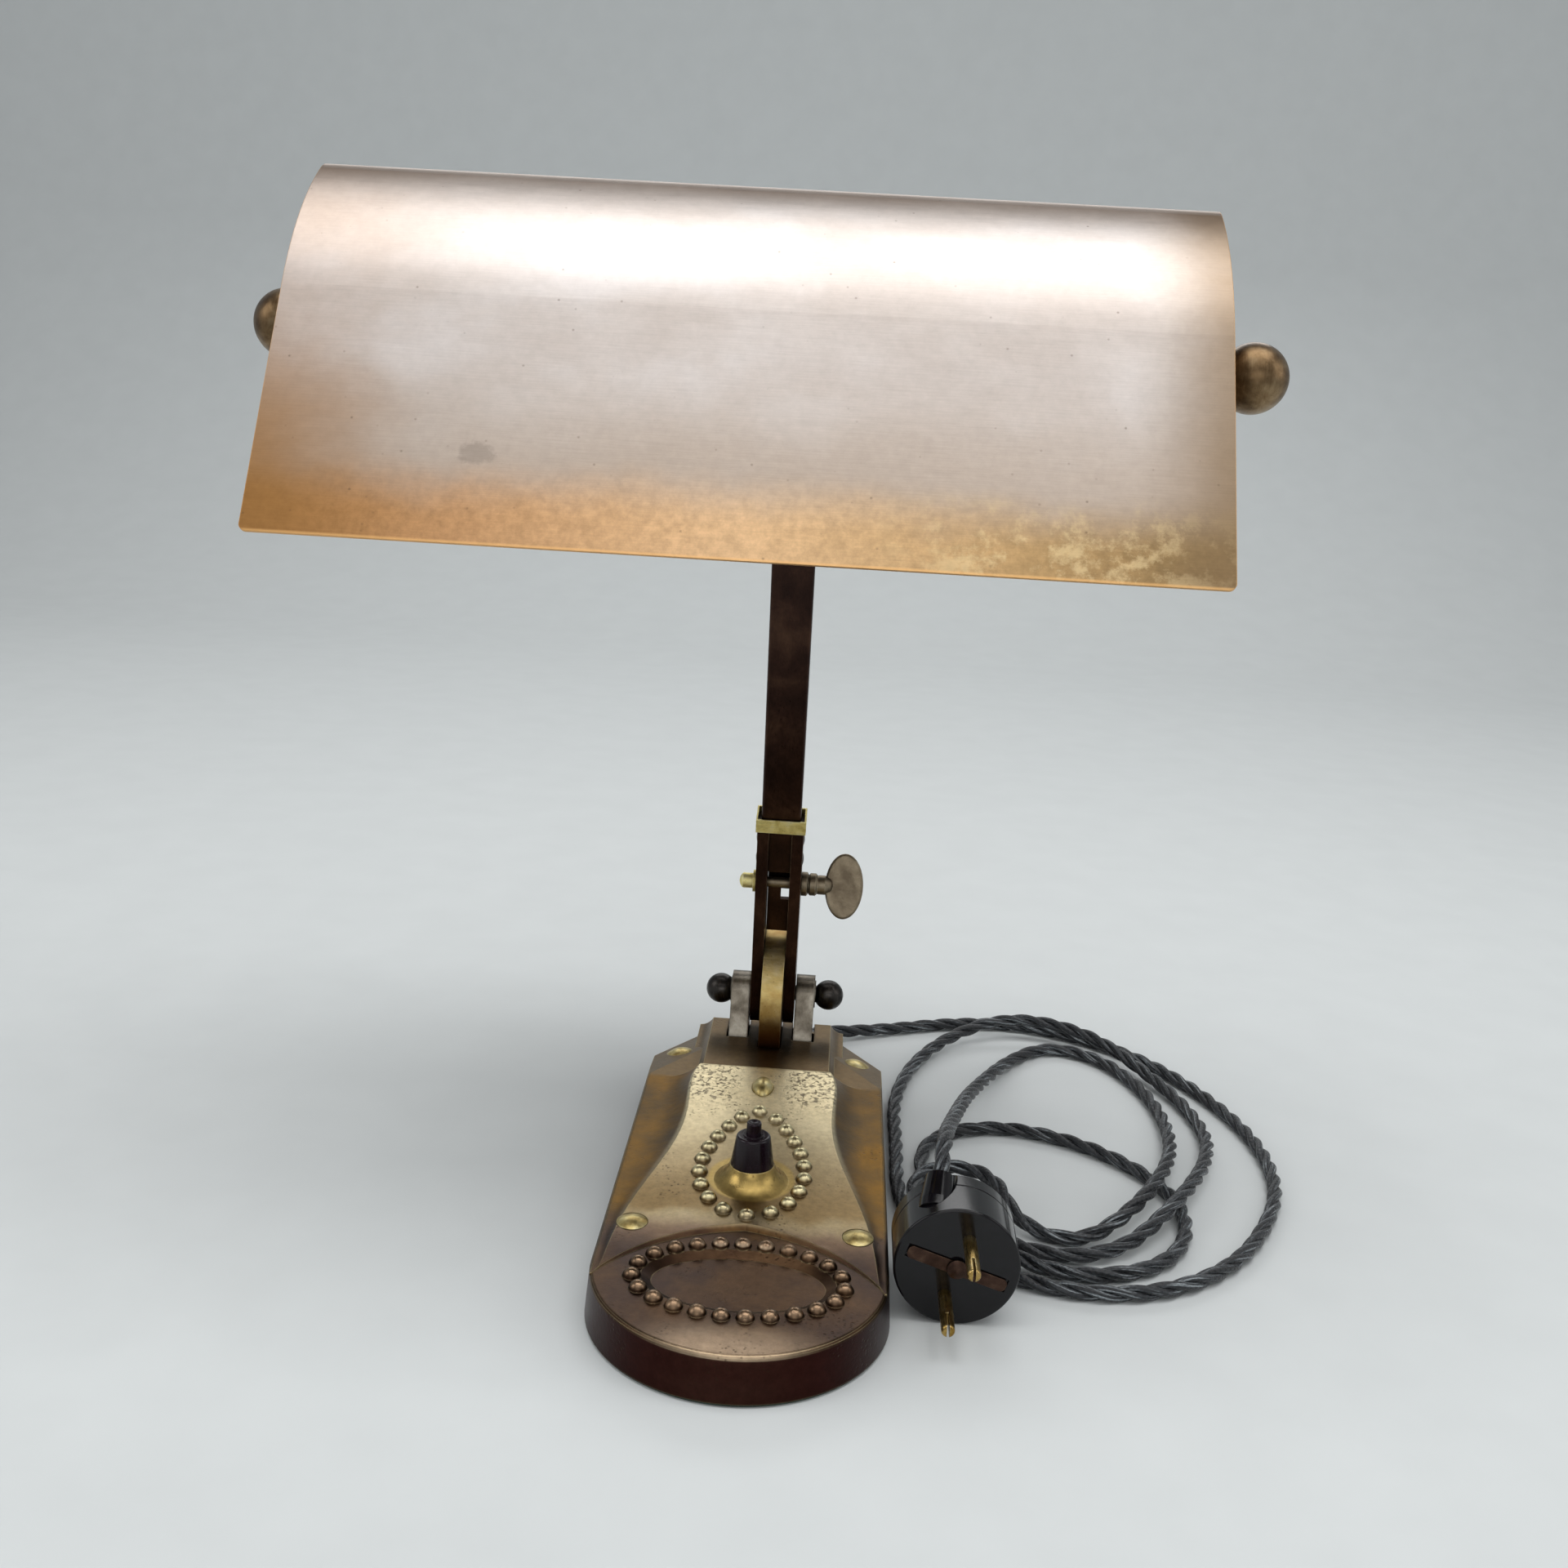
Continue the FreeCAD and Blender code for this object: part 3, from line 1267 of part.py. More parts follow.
def shade():
    """Long sheet brass shade, bent along its crest, with a cheek in each end."""
    outer, outer_front, outer_rear = shade_edges(0)
    inner, inner_front, inner_rear = shade_edges(mm(size.ShadeSheet))
    rims = [Part.LineSegment(outer_rear, inner_rear).toShape(),
            Part.LineSegment(inner_front, outer_front).toShape()]
    profile = Part.Face(Part.Wire(Part.__sortEdges__(outer + inner + rims)))
    half = mm(size.ShadeLong) / 2
    centre = Vector(mm(size.ShadeCentre), rod.y, rod.z)
    sheet_solid = profile.extrude(Vector(2 * half, 0, 0))
    thin = mm(size.ShadeSheet) * 1.01
    corners = [edge for edge in sheet_solid.Edges if edge.Length < thin]
    sheet_solid = sheet_solid.makeFillet(mm(size.ShadeCorner), corners)
    sheet_feature = shaped("shade_sheet", sheet_solid)
    sheet_feature.Placement = Placement(centre - Vector(half, 0, 0), Rotation())
    edges, front, rear = shade_edges(mm(size.ShadeSheet + size.CheekGap))
    closing = Part.LineSegment(rear, front).toShape()
    cheek = Part.Face(Part.Wire(Part.__sortEdges__(edges + [closing])))
    thick = mm(size.CheekThick)
    cheek = cheek.extrude(Vector(thick, 0, 0))
    span = mm(size.ShadeLong)
    cheek_foot = front.z + mm(size.CheekRaise)
    cheek = cheek.common(block(Vector(-1, -span, cheek_foot), Vector(span, span, span)))
    cheek = cheek.cut(Part.makeCylinder(mm(size.JournalRadius + size.TurnGap), thick, Vector(),
                                        Vector(1, 0, 0)))
    for name, x in (("end_plate_left", -half), ("end_plate_right", half - thick)):
        feature = shaped(name, cheek.copy())
        feature.Placement = Placement(centre + Vector(x, 0, 0), Rotation())


def cross_rod():
    """Rod with a shoulder near each end, washers inside the cheeks and collars outside."""
    half = size.ShadeLong / 2
    shoulder = half - size.CheekThick - size.TurnGap - size.RodWasherThick
    collar_foot = half + size.TurnGap
    end = half + size.JournalReach
    centre = Vector(mm(size.ShadeCentre), rod.y, rod.z)
    turned("cross_rod", [
        (0, -end), (size.JournalRadius, -end), (size.JournalRadius, -shoulder),
        (size.RodRadius, -shoulder), (size.RodRadius, shoulder), (size.JournalRadius, shoulder),
        (size.JournalRadius, end), (0, end),
    ], Placement(centre, ALONG_X))
    bore = mm(size.JournalRadius + size.FitGap)
    washer = Part.makeCylinder(mm(size.RodWasher), mm(size.RodWasherThick), Vector(),
                               Vector(1, 0, 0))
    washer = washer.cut(Part.makeCylinder(bore, mm(size.RodWasherThick), Vector(),
                                          Vector(1, 0, 0)))
    starts = (-mm(shoulder + size.RodWasherThick), mm(shoulder))
    group("rod_washers", washer,
          [Placement(centre + Vector(x, 0, 0), Rotation()) for x in starts])
    bore_size = size.JournalRadius + size.FitGap
    radius = mm(size.KnobRadius)
    ball_centre = math.sqrt(radius ** 2 - mm(size.KnobFlat) ** 2)
    knob_bore = size.JournalRadius + size.TurnGap
    for hand, side, turn, long, hollow in (
            ("left", -1, ALONG_MINUS_X, size.CollarLeft, size.HollowLeft),
            ("right", 1, ALONG_X, size.CollarRight, size.HollowRight)):
        foot = centre + Vector(side * mm(collar_foot), 0, 0)
        turned("end_collar_" + hand, [
            (bore_size, 0), (size.CollarFlare, 0), (size.CollarFlare, size.CollarLip),
            (size.CollarNose, long, -hollow), (bore_size, long),
        ], Placement(foot, turn))
        knob_foot = collar_foot + long + size.KnobGap
        depth = end - knob_foot + 0.5
        foot = centre + Vector(side * mm(knob_foot), 0, 0)
        turned("knob_" + hand, [
            (knob_bore, 0), (size.KnobFlat, 0), (size.KnobRadius, ball_centre, size.KnobRadius),
            (0, ball_centre + radius, size.KnobRadius), (0, depth), (knob_bore, depth),
        ], Placement(foot, turn))


# Lamp holder and bulb

def lamp_holder():
    """Bracket on the rod, hollow nipple with its nut, holder with its socket, and bulb."""
    drop = size.HolderDrop
    half = size.BracketHalf
    outline = [
        (-half, -drop), (0, -drop - half, half), (half, -drop, half), (half, 0),
        (0, half, half), (-half, 0, half),
    ]
    circles = [(0, 0, size.RodRadius + size.FitGap), (0, -drop, size.NippleRadius + size.FitGap)]
    near = mm(size.BracketFace)
    plate("holder_bracket", "YZ_Plane", [outline], circles, size.BracketThick,
          Placement(Vector(near, rod.y, rod.z), Rotation()))
    axis = Vector(near, rod.y, rod.z - mm(drop))
    turned("holder_nipple", [
        (size.NippleBore, -size.BracketThick - size.NippleNutThick - 0.4),
        (size.NippleRadius, -size.BracketThick - size.NippleNutThick - 0.4),
        (size.NippleRadius, size.HolderFloor - 0.2), (size.NippleBore, size.HolderFloor - 0.2),
    ], Placement(axis, ALONG_MINUS_X))
    nut_radius = mm(size.NippleNut)
    points = [Vector(0, nut_radius * math.cos(math.radians(60 * k + 30)),
                     nut_radius * math.sin(math.radians(60 * k + 30))) for k in range(7)]
    nut = Part.Face(Part.makePolygon(points)).extrude(Vector(mm(size.NippleNutThick), 0, 0))
    nut = nut.cut(Part.makeCylinder(mm(size.NippleRadius + size.FitGap),
                                    mm(size.NippleNutThick), Vector(), Vector(1, 0, 0)))
    feature = shaped("nipple_nut", nut)
    feature.Placement = Placement(axis + Vector(mm(size.BracketThick), 0, 0), Rotation())
    skirt_foot = size.HolderLong - size.HolderSkirtLong
    turned("lamp_holder", [
        (size.NippleRadius + size.FitGap, 0), (size.HolderRadius - size.HolderDome, 0),
        (size.HolderRadius, size.HolderDome, size.HolderDome * 1.1),
        (size.HolderRadius, skirt_foot), (size.HolderSkirt, skirt_foot + size.HolderSkirtStep),
        (size.HolderSkirt, size.HolderLong),
        (size.HolderBore, size.HolderLong), (size.HolderBore, size.HolderFloor),
        (size.NippleRadius + size.FitGap, size.HolderFloor),
    ], Placement(axis, ALONG_MINUS_X))
    cap_foot = size.HolderFloor + 3.2
    cap_top = cap_foot + size.CapLong
    turned("bulb_cap", [
        (0, cap_foot - 3), (size.CapButton, cap_foot - 3), (size.CapButton, cap_foot - 1.5),
        (size.CapRadius - 2.5, cap_foot), (size.CapRadius, cap_foot + 2.5),
        (size.CapRadius, cap_top), (0, cap_top),
    ], Placement(axis, ALONG_MINUS_X))
    glass_end = cap_top + size.GlassLong
    neck = cap_top + size.GlassNeckLong
    curve = size.GlassNeckCurve
    radius = size.GlassRadius
    inner = radius - size.GlassWall
    base = cap_top + size.GlassWall
    turned("bulb_glass", [
        (0, cap_top), (size.CapRadius - 0.6, cap_top), (radius, neck, -curve),
        (radius, glass_end - radius), (0, glass_end, radius),
        (0, glass_end - size.GlassWall), (inner, glass_end - radius, -inner),
        (inner, neck), (size.CapRadius - 1.4, base, curve - size.GlassWall), (0, base),
    ], Placement(axis, ALONG_MINUS_X))


# Cord and plug

def cord_bush():
    place = Placement(bush_foot(), ALONG_Y)
    long = size.BaseWall + size.BushProud + 0.5
    bore = size.CordRadius + size.BushGap
    outer = size.CordRadius + size.BushWall
    turned("cord_bush", [
        (bore, 0), (outer, 0), (outer, long - 0.6), (outer - 0.6, long, 0.62), (bore, long),
    ], place)


def cord():
    """The cord as straight runs joined by tangent arcs, each as large as its runs allow."""
    points = [Vector(*point) for point in CORD_ROUTE]
    runs = [(end - start).Length for start, end in zip(points[:-1], points[1:])]
    edges = []
    radii = []
    last = points[0]
    for number in range(1, len(points) - 1):
        before = (points[number] - points[number - 1]).normalize()
        after = (points[number + 1] - points[number]).normalize()
        turn = before.getAngle(after)
        reach = ARC_SHARE * min(runs[number - 1], runs[number])
        radius = reach / math.tan(turn / 2)
        radii.append(round(radius, 1))
        start = points[number] - before * reach
        end = points[number] + after * reach
        inward = (after - before).normalize()
        middle = points[number] + inward * (radius / math.cos(turn / 2) - radius)
        edges.append(Part.LineSegment(last, start).toShape())
        edges.append(Part.Arc(start, middle, end).toShape())
        last = end
    edges.append(Part.LineSegment(last, points[-1]).toShape())
    path = Part.Wire(edges)
    section = Part.Wire(Part.makeCircle(mm(size.CordRadius), points[0], points[1] - points[0]))
    tube = path.makePipeShell([section], True, False)
    solid = tube if tube.ShapeType == "Solid" else tube.Solids[0]
    shaped("cord", solid)
    expected = path.Length * math.pi * mm(size.CordRadius) ** 2
    print("cord length %.1f mm, arc radii %s" % (path.Length, radii))
    print("cord volume %.0f, section times length %.0f" % (solid.Volume, expected))
    print("cord least gap to itself %.2f mm" % least_gap(path))


def least_gap(path):
    """Least free distance between stretches of the cord that aren't neighbours."""
    step = 3.0
    points = path.discretize(Distance=step)
    apart = int(30 / step)
    radius = mm(size.CordRadius)
    nearest = min((points[i] - points[j]).Length
                  for i in range(len(points)) for j in range(i + apart, len(points)))
    return nearest - 2 * radius


def plug():
    """Round two-pin plug lying on its side, its pins pointing to the front."""
    radius = size.PlugRadius
    face = Vector(mm(size.PlugX), mm(size.PlugFace), mm(size.PlugRadius))
    axis = Placement(face, ALONG_Y)
    tilt = math.radians(mm(size.PinTilt))
    across = Vector(math.sin(tilt), 0, math.cos(tilt))
    half_spacing = mm(size.PinSpacing) / 2
    body_long = size.PlugBodyLong
    lip = size.PlugLip
    body = turned("plug_body", [
        (0, 0), (radius - lip, 0), (radius, lip, lip), (radius, body_long - 0.4),
        (radius - 0.4, body_long), (0, body_long),
    ], axis)
    for name, x in (("upper", half_spacing), ("lower", -half_spacing)):
        hole = body.newObject("PartDesign::SubtractiveCylinder", "pin_hole_" + name)
        hole.setExpression("Radius", expression(size.PinShank + size.FitGap))
        hole.setExpression("Height", expression(size.PinSeat))
        spot = axis.inverse().multVec(face + across * x)
        hole.Placement = Placement(spot, Rotation())
        body.Tip = hole
    groove = body.newObject("PartDesign::SubtractiveBox", "strap_groove")
    strap_half = mm(size.StrapLong) / 2 + 0.2
    groove.setExpression("Length", expression(size.StrapLong + 0.4))
    groove.setExpression("Width", expression(size.StrapWide + 0.2))
    groove.setExpression("Height", expression(size.StrapThick / 2))
    groove_turn = Rotation(Vector(0, 0, 1), mm(size.PinTilt))
    start = groove_turn.multVec(Vector(-strap_half, -mm(size.StrapWide) / 2 - 0.1, 0))
    groove.Placement = Placement(start, groove_turn)
    body.Tip = groove
    crown = size.PlugCapCrown
    cap_long = size.PlugCapLong
    cap_place = axis.multiply(Placement(Vector(0, 0, mm(body_long)), Rotation()))
    cap = turned("plug_cap", [
        (0, 0), (radius - 0.4, 0), (radius, 0.4), (radius, crown),
        (0, cap_long, dome_radius(radius, cap_long - crown)),
    ], cap_place)
    pin = Part.makeCylinder(mm(size.PinRadius), mm(size.PinLong), Vector(), Vector(0, -1, 0))
    shank = Part.makeCylinder(mm(size.PinShank), mm(size.PinSeat), Vector(), Vector(0, 1, 0))
    tip = -mm(size.PinLong)
    ends = [edge for edge in pin.Edges if abs(edge.CenterOfMass.y - tip) < 0.01
            and edge.Curve.TypeId == "Part::GeomCircle"]
    pin = pin.makeFillet(mm(size.PinRadius) * 0.6, ends).fuse(shank)
    slit = mm(size.PinSlot)
    deep = mm(size.PinSlotDeep)
    pin = pin.cut(Part.makeBox(slit, deep, 4 * mm(size.PinRadius),
                               Vector(-slit / 2, tip - 0.01, -2 * mm(size.PinRadius))))
    group("plug_pins", pin, [Placement(face + across * x, Rotation())
                             for x in (half_spacing, -half_spacing)])
    strap = Part.makeBox(mm(size.StrapLong), mm(size.StrapThick), mm(size.StrapWide),
                         Vector(-mm(size.StrapLong) / 2, -mm(size.StrapThick) / 2,
                                -mm(size.StrapWide) / 2))
    upright = [edge for edge in strap.Edges
               if abs(edge.tangentAt(edge.FirstParameter).y) > 0.99]
    strap = strap.makeFillet(mm(size.StrapWide) * 0.4, upright)
    feature = shaped("plug_earth_strap", strap)
    feature.Placement = Placement(face, Rotation(Vector(0, 1, 0), mm(size.PinTilt)))
    turned("plug_screw", [
        (0, 0), (size.PlugScrewRadius, 0), (size.PlugScrewRadius, size.PlugScrewRise / 2),
        (0, size.PlugScrewRise, dome_radius(size.PlugScrewRadius, size.PlugScrewRise / 2)),
    ], Placement(face - Vector(0, mm(size.StrapThick) / 2, 0), ALONG_MINUS_Y))
    plug_spout(((body, axis), (cap, cap_place)))


def plug_spout(housings):
    """Short tapered spout where the cord enters the plug, let into both of its halves."""
    mouth = Vector(*CORD_ROUTE[-1])
    inward = (mouth - Vector(*CORD_ROUTE[-2])).normalize()
    long = mm(size.SpoutLong)
    foot = mouth + inward * (long + mm(size.SpoutSeat))
    spout = Part.makeCone(mm(size.SpoutRadius), mm(size.SpoutMouth), long,
                          mouth + inward * long, -inward)
    collar = Part.makeCylinder(mm(size.SpoutRadius), mm(size.SpoutSeat), foot, -inward)
    shaped("plug_spout", spout.fuse(collar).removeSplitter())
    for body, place in housings:
        seat = body.newObject("PartDesign::SubtractiveCylinder", body.Name + "_spout_seat")
        seat.setExpression("Radius", expression(size.SpoutRadius + size.FitGap))
        seat.setExpression("Height", expression(size.SpoutLong * 3))
        local_foot = place.inverse().multVec(foot + inward * mm(size.FitGap))
        local_axis = place.Rotation.inverted().multVec(-inward)
        seat.Placement = Placement(local_foot, Rotation(Vector(0, 0, 1), local_axis))
        body.Tip = seat


base_cover()
base_weight()
bottom_plate()
base_felt()
cover_rivets()
push_switch()
ears()
ear_screws()
friction_disc()
pivot_hardware()
fork_legs()
spacer_block()
fork_rivets()
ferrule()
stem()
stem_head()
thumb_screw()
screw_nut()
shade()
cross_rod()
lamp_holder()
cord_bush()
cord()
plug()
document.recompute()

problems = []
for item in document.Objects:
    if "Invalid" in item.State or "Error" in item.State:
        problems.append("%s is %s" % (item.Label, item.State))
for name, node in nodes.items():
    shape = node.Shape
    if shape.isNull() or not shape.isValid() or not shape.Solids:
        problems.append("%s has no valid solid" % name)
if problems:
    raise RuntimeError("; ".join(problems))

os.makedirs("parts", exist_ok=True)
for name, node in nodes.items():
    node.Shape.exportStep(os.path.join("parts", name + ".step"))
print("%d sub-parts written" % len(nodes))
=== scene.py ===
import json
import math
from functools import partial

import bmesh
import bpy
from mathutils import Matrix, Vector

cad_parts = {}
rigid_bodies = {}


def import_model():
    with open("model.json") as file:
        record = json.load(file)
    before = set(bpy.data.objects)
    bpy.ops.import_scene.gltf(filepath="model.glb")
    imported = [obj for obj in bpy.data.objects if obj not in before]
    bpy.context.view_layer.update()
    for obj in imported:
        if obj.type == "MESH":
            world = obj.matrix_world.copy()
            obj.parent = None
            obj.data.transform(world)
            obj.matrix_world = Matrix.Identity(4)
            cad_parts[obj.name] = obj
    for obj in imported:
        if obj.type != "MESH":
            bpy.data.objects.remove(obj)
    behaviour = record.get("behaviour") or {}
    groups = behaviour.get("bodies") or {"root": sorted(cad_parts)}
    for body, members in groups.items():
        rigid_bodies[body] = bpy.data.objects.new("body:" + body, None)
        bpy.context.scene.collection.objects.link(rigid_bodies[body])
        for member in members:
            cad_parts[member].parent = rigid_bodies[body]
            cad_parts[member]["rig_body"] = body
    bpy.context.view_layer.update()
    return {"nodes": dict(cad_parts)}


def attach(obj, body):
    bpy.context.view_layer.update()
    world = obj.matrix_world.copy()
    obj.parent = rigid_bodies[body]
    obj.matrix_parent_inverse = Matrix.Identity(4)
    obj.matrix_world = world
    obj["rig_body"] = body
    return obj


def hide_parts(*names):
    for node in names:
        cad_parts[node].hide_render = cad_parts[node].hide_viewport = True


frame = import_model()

# A notary desk lamp: brass shade on a cross rod, leaning arm, cast base and a cloth cord.
nodes = frame["nodes"]
scene = bpy.context.scene
for item in list(bpy.data.objects):
    if not item.get("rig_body") and not item.name.startswith("body:"):
        bpy.data.objects.remove(item)  # Blender's start-up cube, lamp and camera

# Viewpoint of the photograph

camera = {
    "place": (0.0171, -0.4825, 0.265),  # metres, in the lamp's frame
    "lens": 36.094,                     # on a 36 mm wide sensor
    "turn": 1.72,                       # degrees to the left of the lamp's +Y
    "pitch": 14.0,                      # degrees down
    "roll": 3.31,                       # the picture's level lines drop to the right
}


def addCamera():
    turn = math.radians(camera["turn"])
    pitch = math.radians(camera["pitch"])
    roll = math.radians(camera["roll"])
    ahead = Vector((-math.sin(turn), math.cos(turn), 0))
    level = Vector((math.cos(turn), math.sin(turn), 0))
    forward = ahead * math.cos(pitch) - Vector((0, 0, math.sin(pitch)))
    upright = ahead * math.sin(pitch) + Vector((0, 0, math.cos(pitch)))
    right = level * math.cos(roll) + upright * math.sin(roll)
    up = upright * math.cos(roll) - level * math.sin(roll)
    data = bpy.data.cameras.new("photoCamera")
    data.lens = camera["lens"]
    data.sensor_width = 36
    data.sensor_fit = "HORIZONTAL"
    data.clip_start = 0.01
    data.clip_end = 20
    item = bpy.data.objects.new("photoCamera", data)
    axes = Matrix((right, up, -forward)).transposed().to_4x4()
    item.matrix_world = Matrix.Translation(camera["place"]) @ axes
    scene.collection.objects.link(item)
    scene.camera = item


addCamera()
print("camera placed")

# Small helpers


def clearSelection():
    if bpy.context.object and bpy.context.object.mode != "OBJECT":
        bpy.ops.object.mode_set(mode="OBJECT")
    bpy.ops.object.select_all(action="DESELECT")


def pick(item):
    clearSelection()
    item.hide_set(False)
    item.select_set(True)
    bpy.context.view_layer.objects.active = item


def settle(item):
    # puts the object's place, turn and size into its mesh
    pick(item)
    bpy.ops.object.transform_apply(location=True, rotation=True, scale=True)


def nameLast(name):
    item = bpy.context.object
    item.name = name
    item.data.name = name
    return item


def smooth(item, degrees=35):
    pick(item)
    bpy.ops.object.shade_smooth_by_angle(angle=math.radians(degrees))
    return item


def selectEdges(item, test):
    # edit mode with only the edges that pass the test selected
    pick(item)
    bpy.ops.object.mode_set(mode="EDIT")
    bpy.ops.mesh.select_mode(type="EDGE")
    bpy.ops.mesh.select_all(action="DESELECT")
    mesh = bmesh.from_edit_mesh(item.data)
    for edge in mesh.edges:
        edge.select_set(bool(test(edge)))
    bmesh.update_edit_mesh(item.data)


def leaveEdit():
    bpy.ops.object.mode_set(mode="OBJECT")


def linearColour(text):
    # an sRGB hex value as the linear colour that a shader takes
    parts = [int(text[i:i + 2], 16) / 255 for i in (0, 2, 4)]
    linear = [part / 12.92 if part <= 0.04045 else ((part + 0.055) / 1.055) ** 2.4
              for part in parts]
    return (*linear, 1)


def addNode(tree, kind, settings=None):
    node = tree.nodes.new("ShaderNode" + kind)
    setNode(node, settings or {})
    return node


def setNode(node, settings):
    # settings are the node's properties, colour stops and sockets; a socket takes a number, a
    # hex colour, or the node or output that feeds it
    for key, value in settings.items():
        if key == "stops":
            ramp = node.color_ramp.elements
            while len(ramp) < len(value):
                ramp.new(1)
            for element, (position, colour) in zip(ramp, value):
                element.position = position
                element.color = linearColour(colour)
        elif isinstance(key, str) and key[0].islower():
            setattr(node, key, value)
        elif isinstance(value, bpy.types.Node):
            output = next(output for output in value.outputs if output.enabled)
            node.id_data.links.new(output, findSocket(node.inputs, key))
        elif isinstance(value, bpy.types.NodeSocket):
            node.id_data.links.new(value, findSocket(node.inputs, key))
        else:
            findSocket(node.inputs, key).default_value = (
                linearColour(value) if isinstance(value, str) else value)


def findSocket(sockets, key):
    # by place, or by name among those that the node uses
    if isinstance(key, int):
        return sockets[key]
    return next(socket for socket in sockets if socket.enabled and socket.name == key)


def newMaterial(name):
    # a material with its shader; add puts a node into it, and place is Object coordinates
    material = bpy.data.materials.new(name)
    material.use_nodes = True
    material.node_tree.nodes.clear()
    add = partial(addNode, material.node_tree)
    shader = add("BsdfPrincipled")
    add("OutputMaterial", {"Surface": shader})
    return material, add, shader, add("TexCoord").outputs["Object"]


def roundedArris(add, radius, samples):
    # the normal over slightly rounded arrises, and how far it agrees with the face's own
    rounded = add("Bevel", {"samples": samples, "Radius": radius})
    facing = add("NewGeometry").outputs["Normal"]
    bend = add("VectorMath", {"operation": "DOT_PRODUCT", 0: rounded, 1: facing})
    return rounded, bend.outputs["Value"]


def addZones(add, values, measures):
    # shares of a surface, read from the tables of zones in its values
    zone = {}
    for table, step in (("soft", "SMOOTHSTEP"), ("sharp", "LINEAR")):
        for name, (measure, start, end, least, most) in values[table].items():
            zone[name] = add("MapRange", {"interpolation_type": step, "From Min": start,
                                          "From Max": end, "To Min": least, "To Max": most,
                                          "Value": measures[measure]})
    for name, step, first, second in values["joined"]:
        zone[name] = add("Math", {"operation": step, "use_clamp": True, 0: zone[first],
                                  1: zone[second]})
    return zone


def wear(item, material):
    item.data.materials.clear()
    item.data.materials.append(material)


# Cord

cordShape = {
    "strands": 3,
    "strand": 0.0025,      # thickness of one strand, metres
    "orbit": 0.00136,      # how far a strand's middle lies from the cord's middle
    "lay": 0.030,          # length of one full twist
    "step": 0.0013,        # distance between rings along the cord
    "sides": 12,
    "diameter": 0.0053,
    "weaveUnit": 0.01,     # length along a strand that one unit of its UV map stands for
}

# Route of the cord's middle from the bush to the plug's spout, in metres. The low one is that
# of a cord lying on the table, the high one that of a cord lying on another.
low = 0.00265
high = 0.0087
cordRoute = [
    (0.0145, 0.1155, 0.0066), (0.0145, 0.126, 0.0061), (0.02, 0.135, 0.0049),
    (0.031, 0.14, 0.0037), (0.049, 0.148, low), (0.075, 0.159, low), (0.104, 0.1635, low),
    (0.133, 0.1525, low), (0.158, 0.13, low), (0.175, 0.099, low), (0.185, 0.065, low),
    (0.1845, 0.031, low), (0.174, 0.002, low), (0.156, -0.027, low), (0.131, -0.0455, low),
    (0.104, -0.0495, low), (0.083, -0.043, low), (0.066, -0.032, low), (0.053, -0.015, low),
    (0.0487, 0.009, low), (0.0496, 0.042, low), (0.0489, 0.076, low), (0.057, 0.112, low),
    (0.074, 0.14, 0.0046), (0.097, 0.154, 0.0086), (0.118, 0.153, 0.0088),
    (0.137, 0.14, 0.008), (0.151, 0.121, 0.0046), (0.163, 0.095, low), (0.167, 0.066, low),
    (0.161, 0.04, 0.0061), (0.152, 0.018, high), (0.139, -0.004, high), (0.122, -0.023, 0.004),
    (0.101, -0.0295, low), (0.084, -0.023, low), (0.07, -0.011, low), (0.0615, 0.008, low),
    (0.0565, 0.031, low), (0.065, 0.052, low), (0.087, 0.062, low), (0.111, 0.056, low),
    (0.131, 0.041, low), (0.145, 0.019, low), (0.146, -0.007, low), (0.134, -0.029, low),
    (0.113, -0.039, low), (0.095, -0.0375, low), (0.079, -0.03, 0.005),
    (0.065, -0.0225, high), (0.0545, -0.012, high), (0.0535, 0.002, high),
    (0.0605, 0.0135, high), (0.0735, 0.016, high), (0.083, 0.0065, 0.0086),
    (0.0865, -0.0065, 0.005), (0.0955, -0.016, low), (0.109, -0.0175, low),
    (0.1205, -0.0105, 0.0062), (0.132, 0.003, high + 0.0003), (0.1425, 0.023, high + 0.0003),
    (0.151, 0.052, 0.0046), (0.153, 0.082, low), (0.148, 0.109, low), (0.1355, 0.133, low),
    (0.115, 0.141, low), (0.097, 0.122, low), (0.083, 0.088, 0.0075), (0.074, 0.053, 0.017),
    (0.067, 0.016, 0.027), (0.0625, -0.012, 0.036), (0.0605, -0.029, 0.042),
    (0.059, -0.041, 0.042), (0.058, -0.0487, 0.0377),
]


def routeLine():
    # the smooth line of the route, read from a NURBS curve with no thickness
    curve = bpy.data.curves.new("cordLine", "CURVE")
    curve.dimensions = "3D"
    curve.resolution_u = 24
    spline = curve.splines.new("NURBS")
    spline.points.add(len(cordRoute) - 1)
    for point, place in zip(spline.points, cordRoute):
        point.co = (*place, 1)
    spline.order_u = 3
    spline.use_endpoint_u = True
    item = bpy.data.objects.new("cordLine", curve)
    scene.collection.objects.link(item)
    bpy.context.view_layer.update()
    mesh = bpy.data.meshes.new_from_object(item.evaluated_get(
        bpy.context.evaluated_depsgraph_get()))
    points = [vertex.co.copy() for vertex in mesh.vertices]
    bpy.data.objects.remove(item)
    bpy.data.meshes.remove(mesh)
    return points


def evenly(points, step):
    # the line again with its points at even distances
    lengths = [0.0]
    for start, end in zip(points[:-1], points[1:]):
        lengths.append(lengths[-1] + (end - start).length)
    count = int(lengths[-1] / step)
    made = []
    index = 0
    for number in range(count + 1):
        target = lengths[-1] * number / count
        while index < len(points) - 2 and lengths[index + 1] < target:
            index += 1
        span = lengths[index + 1] - lengths[index]
        share = (target - lengths[index]) / span if span else 0
        made.append(points[index].lerp(points[index + 1], share))
    return made, lengths[-1]


